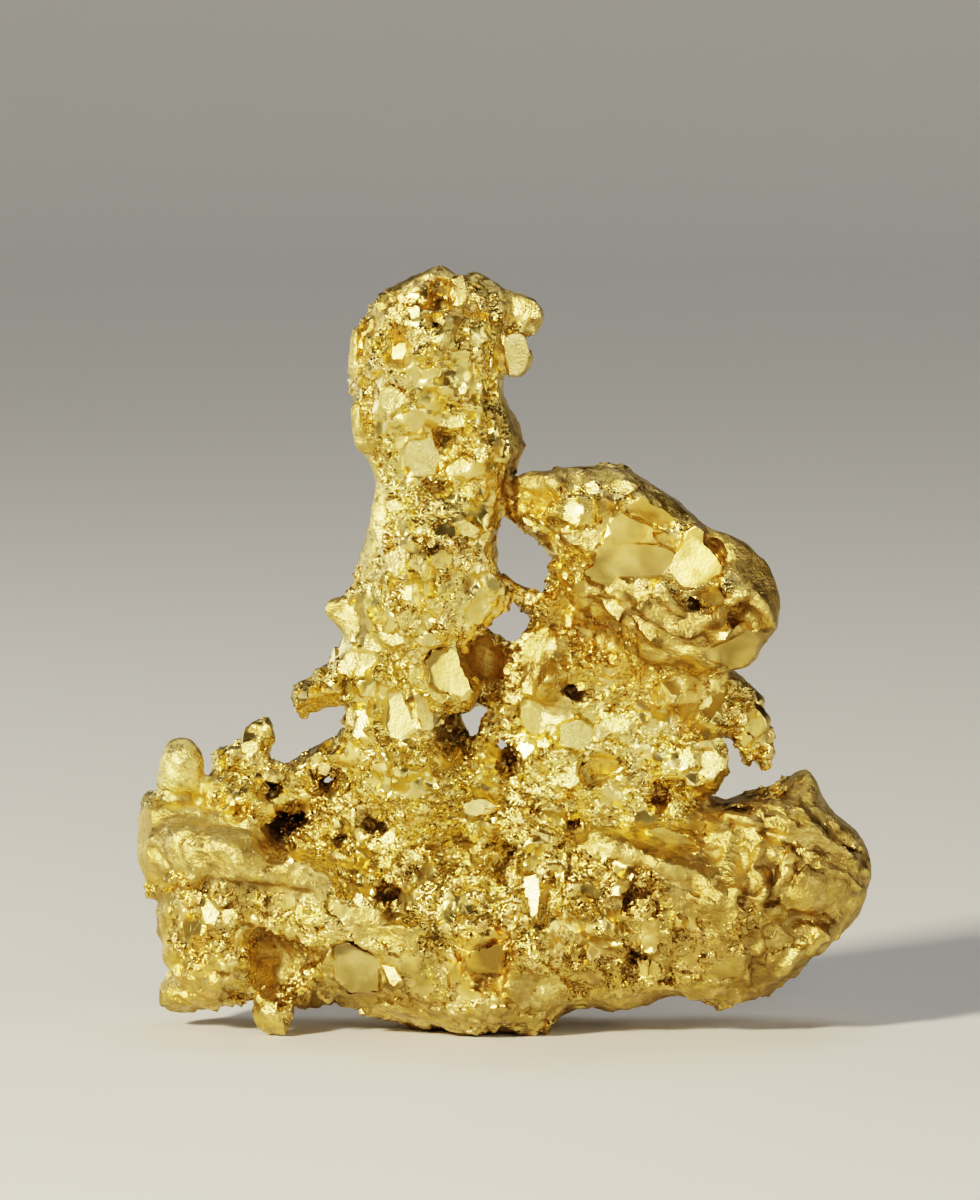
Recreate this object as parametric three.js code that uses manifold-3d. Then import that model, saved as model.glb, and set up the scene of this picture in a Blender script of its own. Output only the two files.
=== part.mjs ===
// Crystallised native gold: one upright specimen, about 26 mm tall and 25 mm wide.
// A long lumpy foot carries a tower on its left half, an arm springs from the tower's waist and
// droops to the right, and a rough web fills the corner between them, with gaps right through it.
// Millimetres, +Z up, the front faces -Y, and the specimen stands on the flat of its belly at z = 0.

import * as THREE from 'three';
import { mergeVertices } from 'three/addons/utils/BufferGeometryUtils.js';
import Module from 'manifold-3d';

const wasm = await Module();
wasm.setup();

// Driving dimensions.
const gridStep = 0.86;         // width of the facets that the broad faces are made of
const rimHalfWidth = 0.32;     // half the width of the narrow edge that runs round each form
const baseHalfDepth = 3.6;
const towerHalfDepth = 2.2;
const armHalfDepth = 2.5;
const webHalfDepth = 1.75;
const spurHalfDepth = 0.85;
const facetWidth = 1.5;        // spacing of the crystal facets that break up the broad faces
const facetRise = 0.4;        // how far those facets stand in and out
const crystalSizes = [0.5, 1.05];
const shortestEdge = 0.19;     // closer corners than this are drawn together
const thinnestFacet = 0.02;    // and so are the corners of facets narrower than this

// Broad forms. Each is an outline in X and Z, given a depth that rounds off towards its edge.
// middle is the Y of its mid-plane, lean is how fast that plane runs back with X and with Z, and bow
// how far its two ends curl back. rounding is how far in from the edge it reaches full depth, and
// roughness scales its crystal facets.
const forms = {
  base: {
    middle: -0.35,
    lean: [0.02, 0.05],
    bow: 0.9,
    roughness: 0.9,
    halfDepth: baseHalfDepth,
    rounding: 3,
    outline: [
      [-11.5, 7.9], [-12.2, 7.8], [-12.45, 7], [-12.35, 5.7], [-12, 4.75], [-11.65, 4.3], [-11.85, 3.5],
      [-11.55, 2.4], [-11, 1.4], [-10.1, 0.7], [-8.8, 0.95], [-7.2, 0.9], [-6.6, 0.7], [-5.9, 1],
      [-4.4, 0.55], [-3.1, 0], [-2.1, -0.25], [1, -0.25], [1.6, 0.2], [2, 0.65], [2.7, 0.85],
      [3.6, 0.65], [4.7, 0.8], [5.5, 1.2], [6.9, 0.9], [8.3, 0.95], [9.3, 1.4], [10.4, 2.3],
      [10.8, 2.95], [11.6, 3.25], [12.2, 4.1], [12.5, 5.4], [12.1, 6.5], [10.9, 7.5], [10.55, 8.4],
      [10.2, 8.75], [9.65, 8.45], [8.95, 8], [7.75, 7.85], [5.95, 7.3], [2.9, 7.4], [-0.45, 6.8],
      [-3.9, 6.2], [-7.3, 6.9],
    ],
  },
  tower: {
    middle: 0.1,
    lean: [0, 0.06],
    bow: 0,
    roughness: 1.25,
    halfDepth: towerHalfDepth,
    rounding: 2.1,
    outline: [
      [-4.55, 24.15], [-4.3, 24.9], [-3.75, 25.25], [-3, 25.6], [-2.2, 25.85], [-1.8, 25.75],
      [-1.55, 25.5], [-1, 25.7], [0, 25.1], [0.1, 23.4], [-0.15, 22.1], [0.05, 21.25],
      [0.5, 20.35], [0.7, 19.75], [0.4, 19.1], [-0.05, 18.2], [-0.15, 17], [-0.4, 16], [-0.15, 15.2],
      [-0.3, 14.4], [-1, 13.6], [-1.25, 12.6], [-0.9, 11.3], [-1.95, 10.4], [-2.3, 7.8],
      [-5.1, 7.8], [-5.4, 10], [-5.6, 10.6], [-5.3, 11.6], [-5.5, 13.3], [-5.15, 14.4], [-5, 15.9],
      [-4.65, 17.1], [-4.35, 18.6], [-4.8, 19.8], [-5.05, 21.4], [-5.3, 22.1], [-5.1, 23.1],
    ],
  },
  arm: {
    middle: -0.35,
    lean: [-0.13, 0.04],
    bow: 0,
    roughness: 0.7,
    halfDepth: armHalfDepth,
    rounding: 2.2,
    outline: [
      [-0.2, 17.8], [0.1, 18.5], [0.9, 18.95], [2.75, 19.05], [3.9, 19.15], [4.6, 18.8], [5.45, 18.3],
      [6.35, 17.6], [6.75, 17.15], [7.85, 16.6], [8.5, 16], [9.1, 15.3], [9.3, 14.5], [8.9, 13.5],
      [8.15, 12.6], [7.5, 12.25], [5.65, 12.35], [4.1, 13], [2.6, 13.9], [1.5, 14.4], [1.2, 15],
      [1.7, 15.8], [1.2, 16.6], [0.4, 17.1],
    ],
  },
  web: {
    middle: 0.5,
    lean: [0.03, 0],
    bow: 0,
    roughness: 1.2,
    halfDepth: webHalfDepth,
    rounding: 1.6,
    outline: [
      [1.2, 14.6], [2.6, 15], [5.3, 14], [7.3, 12.6], [7.7, 11.5], [7.4, 10.1], [6.9, 9.3], [6.9, 8],
      [7.4, 7.2], [6.65, 5.7], [3.2, 5], [-0.2, 5], [-2.6, 6.1], [-2.8, 8.3], [-1.8, 9.6],
      [-0.9, 10.2], [-0.7, 11], [0.15, 12.35], [0.7, 13.6],
    ],
  },
  bridge: {
    middle: 0.1,
    lean: [-0.1, 0],
    bow: 0,
    roughness: 1,
    halfDepth: 0.8,
    rounding: 0.5,
    outline: [
      [-1.2, 15.8], [-0.2, 15.6], [0.5, 15.2], [1.3, 14.85], [2.1, 14.9], [2.2, 13.7], [1.15, 13.4],
      [0.5, 14.2], [-0.3, 14.1], [-1.2, 13.9],
    ],
  },
  apron: {
    middle: 0.1,
    lean: [-0.04, 0.1],
    bow: 0,
    roughness: 1.2,
    halfDepth: 2.1,
    rounding: 1.6,
    outline: [
      [-10.3, 7.7], [-10.3, 8.5], [-9, 8.5], [-7.7, 8.8], [-6.9, 9.3], [-5.75, 9.85], [-5, 10.3],
      [-3.4, 10.2], [-1.6, 9.2], [-1.4, 6], [-4.2, 5.1], [-6.9, 5.7], [-9.7, 6.5],
    ],
  },
  hook: {
    middle: 0.5,
    lean: [0.15, 0.1],
    bow: 0,
    roughness: 1,
    halfDepth: spurHalfDepth,
    rounding: 0.8,
    outline: [
      [6.5, 12.7], [7.6, 12.15], [8.2, 11.8], [8.8, 11.05], [8.95, 10.65], [8.8, 10.35], [9.1, 9.9],
      [9.3, 9.3], [9.05, 8.9], [8.85, 8.55], [8.6, 8.85], [8.2, 9], [8, 9.5], [7.5, 10], [6.6, 10.5],
      [6.1, 11.3],
    ],
  },
  flake: {
    middle: -0.8,
    lean: [0.1, 0],
    bow: 0,
    roughness: 1,
    halfDepth: 0.6,
    rounding: 0.5,
    outline: [
      [6.3, 10], [7.1, 10.15], [7.45, 9.5], [7.65, 8.9], [7.35, 8.55], [7.25, 8.1], [6.9, 8.25],
      [6.2, 8], [5.9, 9],
    ],
  },
  prong: {
    middle: 0.9,
    lean: [0, 0.15],
    bow: 0,
    roughness: 1,
    halfDepth: 0.75,
    rounding: 0.7,
    outline: [
      [-9.9, 8.3], [-9.95, 9.35], [-9.4, 9.45], [-9.05, 9.7], [-8.6, 10.35], [-8.2, 10.45],
      [-7.8, 10.3], [-7.9, 9.4], [-7.8, 8.3], [-8.5, 7.4], [-9.5, 7.6],
    ],
  },
  finger: {
    middle: -0.4,
    lean: [0.25, 0],
    bow: 0,
    roughness: 1,
    halfDepth: 0.95,
    rounding: 0.8,
    outline: [
      [-7.35, 11.05], [-7.2, 11.7], [-6.5, 12.05], [-5.9, 12.6], [-5.2, 13.2], [-4, 13.2],
      [-4, 11.2], [-5.3, 11.05], [-5.8, 11.2], [-6.3, 10.9], [-6.9, 10.85],
    ],
  },
  thorn: {
    middle: -0.4,
    lean: [0.2, 0],
    bow: 0,
    roughness: 0.6,
    halfDepth: 0.75,
    rounding: 0.6,
    outline: [
      [-6.25, 14.4], [-6.15, 14.75], [-5.7, 14.72], [-5, 14.85], [-4, 14.9], [-3.9, 13.3],
      [-5.2, 13.1], [-5.55, 13.6], [-6.05, 14],
    ],
  },
  // The far wall of the deep hollow between the tower and the web.
  pocketFloor: {
    middle: 1.35,
    lean: [0, 0],
    bow: 0,
    roughness: 1,
    halfDepth: 0.95,
    rounding: 0.6,
    outline: [
      [-2.6, 13.8], [-1.2, 13.9], [-0.6, 13.4], [0.1, 12.9], [1.2, 12.9], [1, 10.6], [-0.2, 10.7],
      [-0.6, 11.1], [-1, 10.8], [-1.2, 10.1], [-0.9, 9.6], [-0.8, 8.6], [-2.8, 8.4],
    ],
  },
};

// Broad swellings and sunken places of the faces: [x, z, reach, rise].
const frontSwells = [
  [-2.3, 23.4, 2, 0.5], [-2.2, 18.6, 1.4, -0.35], [-3.2, 14.6, 1.8, 0.4], [3.2, 13.4, 1.5, -0.8],
  [-0.5, 3.2, 3, 0.4], [-8, 3.4, 1.3, -0.7], [8.2, 4, 2.2, 0.35], [-6.8, 7.4, 1.2, -0.5],
];
const backSwells = [
  [-3.1, 21.8, 2, 0.6], [-1.8, 17, 1.6, -0.4], [-3.6, 13.6, 1.6, 0.5], [5, 16, 2, 0.5],
  [3, 10.4, 1.7, -0.5], [-6.5, 4.2, 2.5, 0.4], [1.5, 3.4, 2, -0.7], [7.6, 5, 2.4, 0.4],
];

// Gaps that pass right through the specimen, and that the forms beside them round off towards.
const gaps = {
  upper: [
    [0.1, 17.1], [0.5, 17.05], [0.75, 16.65], [1.3, 16.4], [1.75, 15.95], [1.45, 15.3],
    [1.3, 14.85], [0.45, 15.2], [-0.15, 15.6], [-0.35, 16], [-0.05, 16.7],
  ],
  lower: [
    [0.35, 14.5], [0.75, 13.9], [0.65, 13.4], [0.2, 12.9], [-0.4, 13.2], [-0.6, 13.8], [-0.1, 14.2],
  ],
  middle: [[-1.1, 10.4], [-0.7, 10.9], [-0.5, 10.6], [-0.75, 10.2], [-0.95, 9.9]],
  small: [[-0.55, 9.75], [-0.2, 10], [0.05, 9.75], [0.15, 9.35], [-0.25, 9.3]],
  apron: [[-6.5, 8.15], [-6.15, 8.85], [-5.55, 8.85], [-5.9, 8.35]],
};

// Smooth rounded lobes and rolls. Each follows a path of [x, y, z, radius].
const lobes = [
  // Front of the base, left to right.
  [[-11.4, -1.8, 6.2, 1], [-10, -2.6, 6.1, 1.25], [-8, -3, 5.8, 1.2], [-6.4, -3.1, 5.1, 0.9]],
  [[-11.6, -0.6, 7.1, 0.75], [-11.8, -0.8, 6, 0.8], [-11.5, -0.7, 5, 0.7]],
  [[-11.1, -1.2, 3.9, 0.75], [-11, -1.3, 2.9, 0.75], [-10.6, -1.2, 2.3, 0.6]],
  [[-5.2, -2.9, 4, 0.8], [-3.6, -3, 3.2, 0.75]],
  [[-2.4, -1.8, 0.9, 0.8], [0.6, -1.7, 0.85, 0.75], [2.2, -1.5, 1.2, 0.6]],
  [[-1.4, -2.4, 7.3, 0.6], [0.6, -2.6, 7, 0.7], [1.8, -2.7, 6.4, 0.6]],
  [[2.8, -2.6, 6.4, 0.8], [4.6, -2.85, 5.7, 0.95], [6.7, -2.9, 4.8, 0.85]],
  [[7.6, -1.9, 7, 0.8], [9.7, -1.7, 7.2, 0.85], [11.2, -1, 6.3, 0.9]],
  [[9.6, -2.3, 5, 1.15], [11, -1.6, 5.2, 1.1]],
  [[6.6, -1.9, 1.9, 0.95], [8.6, -2, 2.4, 1.2], [9.8, -1.8, 3.6, 1]],
  // Feet and upright stubs.
  [[-10.2, 0.2, 1.7, 0.8], [-11.15, -0.1, 1.05, 0.72]],
  [[-7.9, -2.1, 1.7, 0.75], [-7.85, -2.4, 0.6, 0.72]],
  [[-11.1, 0.1, 8.1, 0.85], [-11, 0.15, 9.15, 0.86]],
  // Head of the tower.
  [[0.1, 0, 24.35, 0.8], [0.6, 0, 24.2, 0.8]],
  [[0.2, -0.5, 23.2, 0.62], [0.35, -0.5, 22.65, 0.6]],
  [[-4.55, 0, 23.4, 0.8], [-4.6, 0.1, 22.4, 0.75]],
  [[-4.5, -0.4, 21, 0.8], [-4.4, -0.3, 20.1, 0.75]],
  // Arm: the outer rim that curls round to the underside, and the curl inside it.
  [[6.7, -1.3, 16.7, 0.6], [8.1, -1.4, 15.8, 0.8], [8.6, -1.3, 14.3, 0.75], [7.8, -1.3, 13, 0.7]],
  [[4.4, -1.5, 13.5, 0.6], [6.2, -1.7, 12.95, 0.65], [7.9, -1.4, 12.95, 0.6]],
  [[5.2, -2.6, 14.5, 0.4], [6.4, -2.8, 13.9, 0.45], [7.5, -2.7, 14.1, 0.4], [8.1, -2.2, 14.9, 0.4]],
  [[0.7, -0.6, 18.45, 0.55], [2.8, -0.9, 18.5, 0.6]],
  // Ends of the base and of the arm, seen from the side.
  [[11, 0.6, 6.2, 1.1], [11.4, 1, 4.8, 0.9]],
  [[10.8, -1.5, 4.2, 0.8], [9.9, -1.2, 2.9, 0.8]],
  [[-11.2, 1.4, 5.6, 1], [-10.8, 1.6, 3.6, 0.9]],
  [[8, 0.3, 15.4, 0.95], [8.2, 0.1, 13.7, 0.9]],
  // Back of the base, tower and arm.
  [[-10.8, 1.5, 6.4, 1.1], [-8.3, 2.6, 4.8, 1.3], [-5.6, 2.9, 4.6, 1]],
  [[-3.8, 2.7, 2.9, 1], [-0.6, 2.9, 3.4, 1.1], [2.4, 2.8, 2.6, 0.9]],
  [[4.2, 2.8, 5.4, 1], [6.9, 2.5, 5.9, 1.1], [9.8, 1.8, 5.4, 1.2]],
  [[-3.4, 1.6, 22.6, 0.9], [-2.4, 1.6, 20.9, 0.8]],
  [[-1.9, 1.6, 17.4, 0.8], [-2.9, 1.6, 15.3, 0.9]],
  [[2.8, 1.3, 17.5, 0.8], [5.2, 1.4, 16.4, 0.9], [7.2, 1, 14.6, 0.9]],
];

// Flat crystal faces, cut square into the front: centre [x, z], size [wide, high], how far in,
// and the turns about X (looking up), Z (looking sideways) and in the face's own plane, in degrees.
const flatFaces = [
  { at: [4.4, 16.6], size: [2.3, 2.1], depth: 0.75, turn: [-8, 6, 22] },
  { at: [6.6, 15.9], size: [1.4, 1.9], depth: 0.6, turn: [-22, -8, -20] },
  { at: [2.5, 17.3], size: [1.5, 1], depth: 0.45, turn: [-12, 4, 10] },
  { at: [2.5, 10.2], size: [1.9, 1.1], depth: 0.3, turn: [-10, 3, -14] },
  { at: [0.95, 10.7], size: [0.85, 1.1], depth: 0.3, turn: [-4, -14, 8] },
  { at: [-1.8, 12.2], size: [1.4, 1.5], depth: 0.55, turn: [-14, 16, 6] },
  { at: [-3.6, 10.6], size: [1, 1.9], depth: 0.55, turn: [-10, 18, 10] },
  { at: [-5, 11], size: [0.9, 1.2], depth: 0.2, turn: [-12, -10, 14] },
  { at: [-5, 1.95], size: [1.9, 1.5], depth: 0.35, turn: [8, 2, 12] },
  { at: [-3.8, 21.2], size: [0.8, 1], depth: 0.35, turn: [-14, -8, 16] },
  { at: [-2.7, 19.3], size: [1.1, 1.1], depth: 0.3, turn: [-6, 8, -8] },
  { at: [-1.4, 25], size: [0.8, 0.9], depth: 0.35, turn: [-20, 6, 12] },
  { at: [-4.1, 12.6], size: [1.3, 0.8], depth: 0.2, turn: [-16, -6, -8] },
  { at: [8.3, 6.6], size: [1.9, 0.8], depth: 0.3, turn: [-26, 0, 8] },
];

// Hollows with straight crystal walls, in the same terms as the flat faces.
const hollows = [
  { at: [-7.3, 7], size: [1.2, 0.9], depth: 1.5, turn: [0, 0, -35] },
  { at: [-7.8, 8.2], size: [0.8, 0.6], depth: 1, turn: [0, 0, -20] },
  { at: [-4.5, 7], size: [1.15, 0.95], depth: 0.9, turn: [6, 8, 20] },
  { at: [-5.5, 6.6], size: [0.6, 0.45], depth: 0.8, turn: [0, 0, 10] },
  { at: [-3.85, 4.6], size: [0.85, 0.85], depth: 1.6, turn: [0, 0, -25] },
  { at: [0.3, 5.75], size: [0.8, 0.65], depth: 1.2, turn: [0, 0, 40] },
  { at: [2.4, 11.65], size: [0.75, 0.45], depth: 1.2, turn: [0, 0, 40] },
  { at: [5.25, 8.1], size: [0.7, 0.75], depth: 1.2, turn: [0, 0, 10] },
  { at: [2.5, 7.1], size: [0.4, 0.6], depth: 0.9, turn: [0, 0, -15] },
  { at: [4.45, 5], size: [1, 0.55], depth: 0.8, turn: [0, 0, -20] },
  { at: [4.5, 2.5], size: [1, 0.85], depth: 0.8, turn: [-10, 0, 15] },
  { at: [7.9, 3.4], size: [0.5, 1], depth: 0.8, turn: [0, 0, 8] },
  { at: [-0.65, 2.1], size: [1.35, 1.1], depth: 0.9, turn: [-6, 0, -4] },
  { at: [1.2, 4.6], size: [0.45, 1.7], depth: 0.7, turn: [0, 24, 28] },
  { at: [-7.6, 2.5], size: [2, 1.5], depth: 1.4, turn: [0, 0, 0] },
  { at: [-1.5, 10.2], size: [1.1, 1.1], depth: 1.5, turn: [0, 0, 15] },
  { at: [-0.6, 12.4], size: [0.9, 1.6], depth: 1, turn: [0, 0, -30] },
  { at: [0.15, 9], size: [0.6, 0.8], depth: 1.5, turn: [0, 0, -30] },
  { at: [-1.8, 24.8], size: [1.5, 0.85], depth: 0.9, turn: [0, 0, 8] },
  { at: [-2, 20.1], size: [0.8, 0.3], depth: 0.6, turn: [0, 0, -25] },
  { at: [-2.25, 18.45], size: [0.8, 0.5], depth: 0.6, turn: [0, 0, -10] },
  { at: [-3.6, 23.3], size: [0.6, 1.1], depth: 0.6, turn: [0, 0, 5] },
  { at: [-2.1, 15.9], size: [0.7, 0.8], depth: 0.4, turn: [0, 0, 45] },
  { at: [0.95, 17.8], size: [1.3, 1.1], depth: 0.9, turn: [0, 0, 0] },
  { at: [7.7, 14.6], size: [0.8, 0.6], depth: 0.8, turn: [0, 0, 40] },
  { at: [6.1, 14.4], size: [0.8, 0.4], depth: 0.6, turn: [0, 0, -30] },
  { at: [7.15, 16.35], size: [0.5, 0.9], depth: 0.6, turn: [0, 0, -30] },
  { at: [3.3, 8.9], size: [1.5, 0.6], depth: 0.6, turn: [0, 0, -6] },
];

// Where crystals stand on the gold: a rectangle in X and Z, and how many on its front and back.
const crystalPatches = [
  { from: [-5.2, 18], to: [0.3, 24.7], front: 16, back: 11 },
  { from: [-5.2, 11], to: [0, 18], front: 17, back: 10 },
  { from: [0.5, 12.5], to: [9, 19], front: 7, back: 8 },
  { from: [-0.5, 7.5], to: [7.5, 13], front: 15, back: 7 },
  { from: [-10, 6.8], to: [-0.5, 10.4], front: 13, back: 6 },
  { from: [-6, 1], to: [5.5, 7.5], front: 11, back: 7 },
  { from: [-12, 0.8], to: [12, 4.5], front: 7, back: 8 },
];
const backHollowCount = 16;

// A repeatable run of numbers from 0 to 1.
function numberStream(seed) {
  let state = seed;
  return () => {
    state = (state + 0x6d2b79f5) | 0;
    let mixed = Math.imul(state ^ (state >>> 15), 1 | state);
    mixed = (mixed + Math.imul(mixed ^ (mixed >>> 7), 61 | mixed)) ^ mixed;
    return ((mixed ^ (mixed >>> 14)) >>> 0) / 4294967296;
  };
}

// One number from -1 to 1 that always belongs to the same grid place.
function placeNumber(column, row, seed) {
  return numberStream(column * 7919 + row * 104729 + seed * 1299709)() * 2 - 1;
}

function smoothLoop(points) {
  const knots = points.map(([x, z]) => new THREE.Vector3(x, 0, z));
  const curve = new THREE.CatmullRomCurve3(knots, true, 'centripetal');
  const steps = Math.round(points.length * 1.6);
  return curve.getPoints(steps).slice(0, -1).map((p) => new THREE.Vector2(p.x, p.z));
}

function distanceToLoop(point, loop) {
  let nearest = Infinity;
  for (let i = 0; i < loop.length; i += 1) {
    const start = loop[i];
    const side = loop[(i + 1) % loop.length].clone().sub(start);
    const along = point.clone().sub(start).dot(side) / side.lengthSq();
    const foot = start.clone().addScaledVector(side, THREE.MathUtils.clamp(along, 0, 1));
    nearest = Math.min(nearest, foot.distanceTo(point));
  }
  return nearest;
}

function isInside(point, loop) {
  let inside = false;
  for (let i = 0; i < loop.length; i += 1) {
    const a = loop[i];
    const b = loop[(i + 1) % loop.length];
    const crosses = (a.y > point.y) !== (b.y > point.y);
    if (crosses && point.x < ((b.x - a.x) * (point.y - a.y)) / (b.y - a.y) + a.x) inside = !inside;
  }
  return inside;
}

const gapLoops = Object.values(gaps).map(smoothLoop);
for (const form of Object.values(forms)) {
  form.loop = smoothLoop(form.outline);
  form.box = new THREE.Box2().setFromPoints(form.loop);
}

// Tilted crystal facets: the rise of the nearest facet's plane above the broad face.
function facetHeight(x, z, side) {
  const column = Math.round(x / facetWidth);
  const row = Math.round(z / facetWidth);
  let nearest = Infinity;
  let height = 0;
  for (let i = column - 1; i <= column + 1; i += 1) {
    for (let j = row - 1; j <= row + 1; j += 1) {
      const centreX = (i + 0.38 * placeNumber(i, j, 11 * side)) * facetWidth;
      const centreZ = (j + 0.38 * placeNumber(i, j, 12 * side)) * facetWidth;
      const distance = Math.hypot(x - centreX, z - centreZ);
      if (distance < nearest) {
        nearest = distance;
        const tiltX = 0.4 * placeNumber(i, j, 13 * side);
        const tiltZ = 0.4 * placeNumber(i, j, 14 * side);
        height = facetRise * placeNumber(i, j, 15 * side) + tiltX * (x - centreX) + tiltZ * (z - centreZ);
      }
    }
  }
  return height;
}

// How far the swellings on one side raise the face at a place.
function swellHeight(x, z, side) {
  const swells = side < 0 ? frontSwells : backSwells;
  return swells.reduce((height, [swellX, swellZ, reach, rise]) => {
    const distance = Math.hypot(x - swellX, z - swellZ) / reach;
    return height + rise * Math.exp(-(distance ** 2));
  }, 0);
}

// Y of a form's face at a place: side is -1 for the front and 1 for the back.
function faceOf(form, x, z, side) {
  const point = new THREE.Vector2(x, z);
  let inward = 0;
  if (isInside(point, form.loop)) {
    const distances = [form.loop, ...gapLoops].map((loop) => distanceToLoop(point, loop));
    inward = Math.min(1, Math.min(...distances) / form.rounding);
  }
  const roundness = Math.sqrt(1 - (1 - inward) ** 2);
  const depth = rimHalfWidth + (form.halfDepth - rimHalfWidth) * roundness;
  const relief = form.roughness * facetHeight(x, z, side) + swellHeight(x, z, side);
  const scale = inward * Math.min(1, form.halfDepth / 2);
  const centre = form.box.getCenter(new THREE.Vector2());
  const endness = (x - centre.x) / (form.box.max.x - centre.x);
  const middle = form.middle + form.lean[0] * (x - centre.x) + form.lean[1] * (z - centre.y)
    + form.bow * endness ** 2;
  return middle + side * Math.max(rimHalfWidth, depth + relief * scale);
}

// Y of the outermost face at a place, or null off the specimen.
function outerFace(x, z, side) {
  const point = new THREE.Vector2(x, z);
  if (gapLoops.some((loop) => isInside(point, loop))) return null;
  const under = Object.values(forms).filter((form) => isInside(point, form.loop));
  if (under.length === 0) return null;
  return side * Math.max(...under.map((form) => side * faceOf(form, x, z, side)));
}

// A closed geometry as a solid that can be joined and cut.
function solidOf(geometry) {
  const bare = geometry.clone();
  bare.deleteAttribute('normal');
  bare.deleteAttribute('uv');
  const merged = mergeVertices(bare, 1e-5);
  const corners = merged.index.array;
  const kept = [];
  for (let i = 0; i < corners.length; i += 3) {
    const [a, b, c] = [corners[i], corners[i + 1], corners[i + 2]];
    if (a !== b && b !== c && c !== a) kept.push(a, b, c);
  }
  return new wasm.Manifold(new wasm.Mesh({
    numProp: 3,
    vertProperties: new Float32Array(merged.attributes.position.array),
    triVerts: new Uint32Array(kept),
  }));
}

// The outline of a form or gap, drawn right through the specimen.
function throughSolid(loop) {
  const reach = 12;
  const geometry = new THREE.ExtrudeGeometry(new THREE.Shape(loop), { depth: reach, bevelEnabled: false });
  geometry.rotateX(Math.PI / 2);
  geometry.translate(0, reach / 2, 0);
  return solidOf(geometry);
}

function formSolid(form, seed) {
  const box = form.box.clone().expandByScalar(gridStep / 2);
  const size = box.getSize(new THREE.Vector2());
  const middle = box.getCenter(new THREE.Vector2());
  const columns = Math.ceil(size.x / gridStep);
  const rows = Math.ceil(size.y / gridStep);
  const geometry = new THREE.BoxGeometry(size.x, 2, size.y, columns, 1, rows);
  const places = geometry.attributes.position;
  for (let i = 0; i < places.count; i += 1) {
    const column = Math.round(((places.getX(i) + size.x / 2) / size.x) * columns);
    const row = Math.round(((places.getZ(i) + size.y / 2) / size.y) * rows);
    const isEdge = column === 0 || column === columns || row === 0 || row === rows;
    const wander = isEdge ? 0 : 0.24 * gridStep;
    const x = middle.x + places.getX(i) + wander * placeNumber(column, row, seed);
    const z = middle.y + places.getZ(i) + wander * placeNumber(column, row, seed + 1);
    places.setXYZ(i, x, faceOf(form, x, z, Math.sign(places.getY(i))), z);
  }
  return solidOf(geometry).intersect(throughSolid(form.loop));
}

// A capsule bent along its path and swollen to the radius given at each knot.
function lobeSolid(knots) {
  const path = new THREE.CatmullRomCurve3(knots.map(([x, y, z]) => new THREE.Vector3(x, y, z)));
  const length = path.getLength();
  const bends = Math.max(1, Math.round(length / 1.2));
  const geometry = new THREE.CapsuleGeometry(1, length, 2, 8, bends);
  const places = geometry.attributes.position;
  const depthAxis = new THREE.Vector3(0, 1, 0);
  for (let i = 0; i < places.count; i += 1) {
    const height = places.getY(i);
    const along = THREE.MathUtils.clamp(height / length + 0.5, 0, 1);
    const knot = Math.min(knots.length - 2, Math.floor(along * (knots.length - 1)));
    const blend = along * (knots.length - 1) - knot;
    const radius = THREE.MathUtils.lerp(knots[knot][3], knots[knot + 1][3], blend);
    const tangent = path.getTangent(along);
    const acrossPath = new THREE.Vector3().crossVectors(tangent, depthAxis).normalize();
    const outOfPath = new THREE.Vector3().crossVectors(acrossPath, tangent);
    const beyondEnd = height - THREE.MathUtils.clamp(height, -length / 2, length / 2);
    const place = path.getPoint(along)
      .addScaledVector(tangent, beyondEnd * radius)
      .addScaledVector(acrossPath, places.getX(i) * radius)
      .addScaledVector(outOfPath, places.getZ(i) * radius);
    places.setXYZ(i, place.x, place.y, place.z);
  }
  return solidOf(geometry);
}

// A flat-sided cutter that stands on its own face, which lies the given depth below the surface.
// Its corners wander, so that no hollow is quite square, and it widens a little outwards.
function cutterSolid({ at: [x, z], size: [wide, high], depth, turn }, side) {
  const surface = outerFace(x, z, side);
  const reach = 6;
  const geometry = new THREE.BoxGeometry(wide, reach, high);
  const places = geometry.attributes.position;
  for (let i = 0; i < places.count; i += 1) {
    const corner = Math.sign(places.getX(i)) + 3 * Math.sign(places.getZ(i));
    const outward = places.getY(i) * side > 0;
    const wander = 0.3 * placeNumber(corner, Math.round(10 * x), Math.round(10 * z));
    const widening = outward ? 1.9 : 1;
    places.setX(i, places.getX(i) * widening * (1 + wander));
    places.setZ(i, places.getZ(i) * widening * (1 - 0.8 * wander));
  }
  geometry.translate(0, side * reach / 2, 0);
  geometry.rotateY(THREE.MathUtils.degToRad(turn[2]));
  geometry.rotateX(THREE.MathUtils.degToRad(turn[0]));
  geometry.rotateZ(THREE.MathUtils.degToRad(turn[1]));
  geometry.translate(x, surface - side * depth, z);
  return solidOf(geometry);
}

// A random place on the front or back of a rectangle in X and Z, kept off the thin edges.
function placeOnFace({ from, to }, side, random) {
  for (;;) {
    const x = THREE.MathUtils.lerp(from[0], to[0], random());
    const z = THREE.MathUtils.lerp(from[1], to[1], random());
    const surface = outerFace(x, z, side);
    if (surface !== null && side * surface > 0.9) return [x, surface, z];
  }
}

// One crystal: a cube, a flat plate or an octahedron, at a random turn, mostly sunk in the gold.
function crystalSolid([x, y, z], random) {
  const size = THREE.MathUtils.lerp(crystalSizes[0], crystalSizes[1], random() ** 2);
  const kind = random();
  let geometry = new THREE.OctahedronGeometry(size * 0.8);
  if (kind < 0.4) geometry = new THREE.BoxGeometry(size, size, size);
  else if (kind < 0.7) geometry = new THREE.BoxGeometry(size * 1.4, size * 0.5, size * 1.1);
  const turn = new THREE.Euler(random() * Math.PI, random() * Math.PI, random() * Math.PI);
  geometry.applyMatrix4(new THREE.Matrix4().makeRotationFromEuler(turn));
  geometry.translate(x, y - Math.sign(y) * size * 0.3, z);
  return solidOf(geometry);
}

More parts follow.
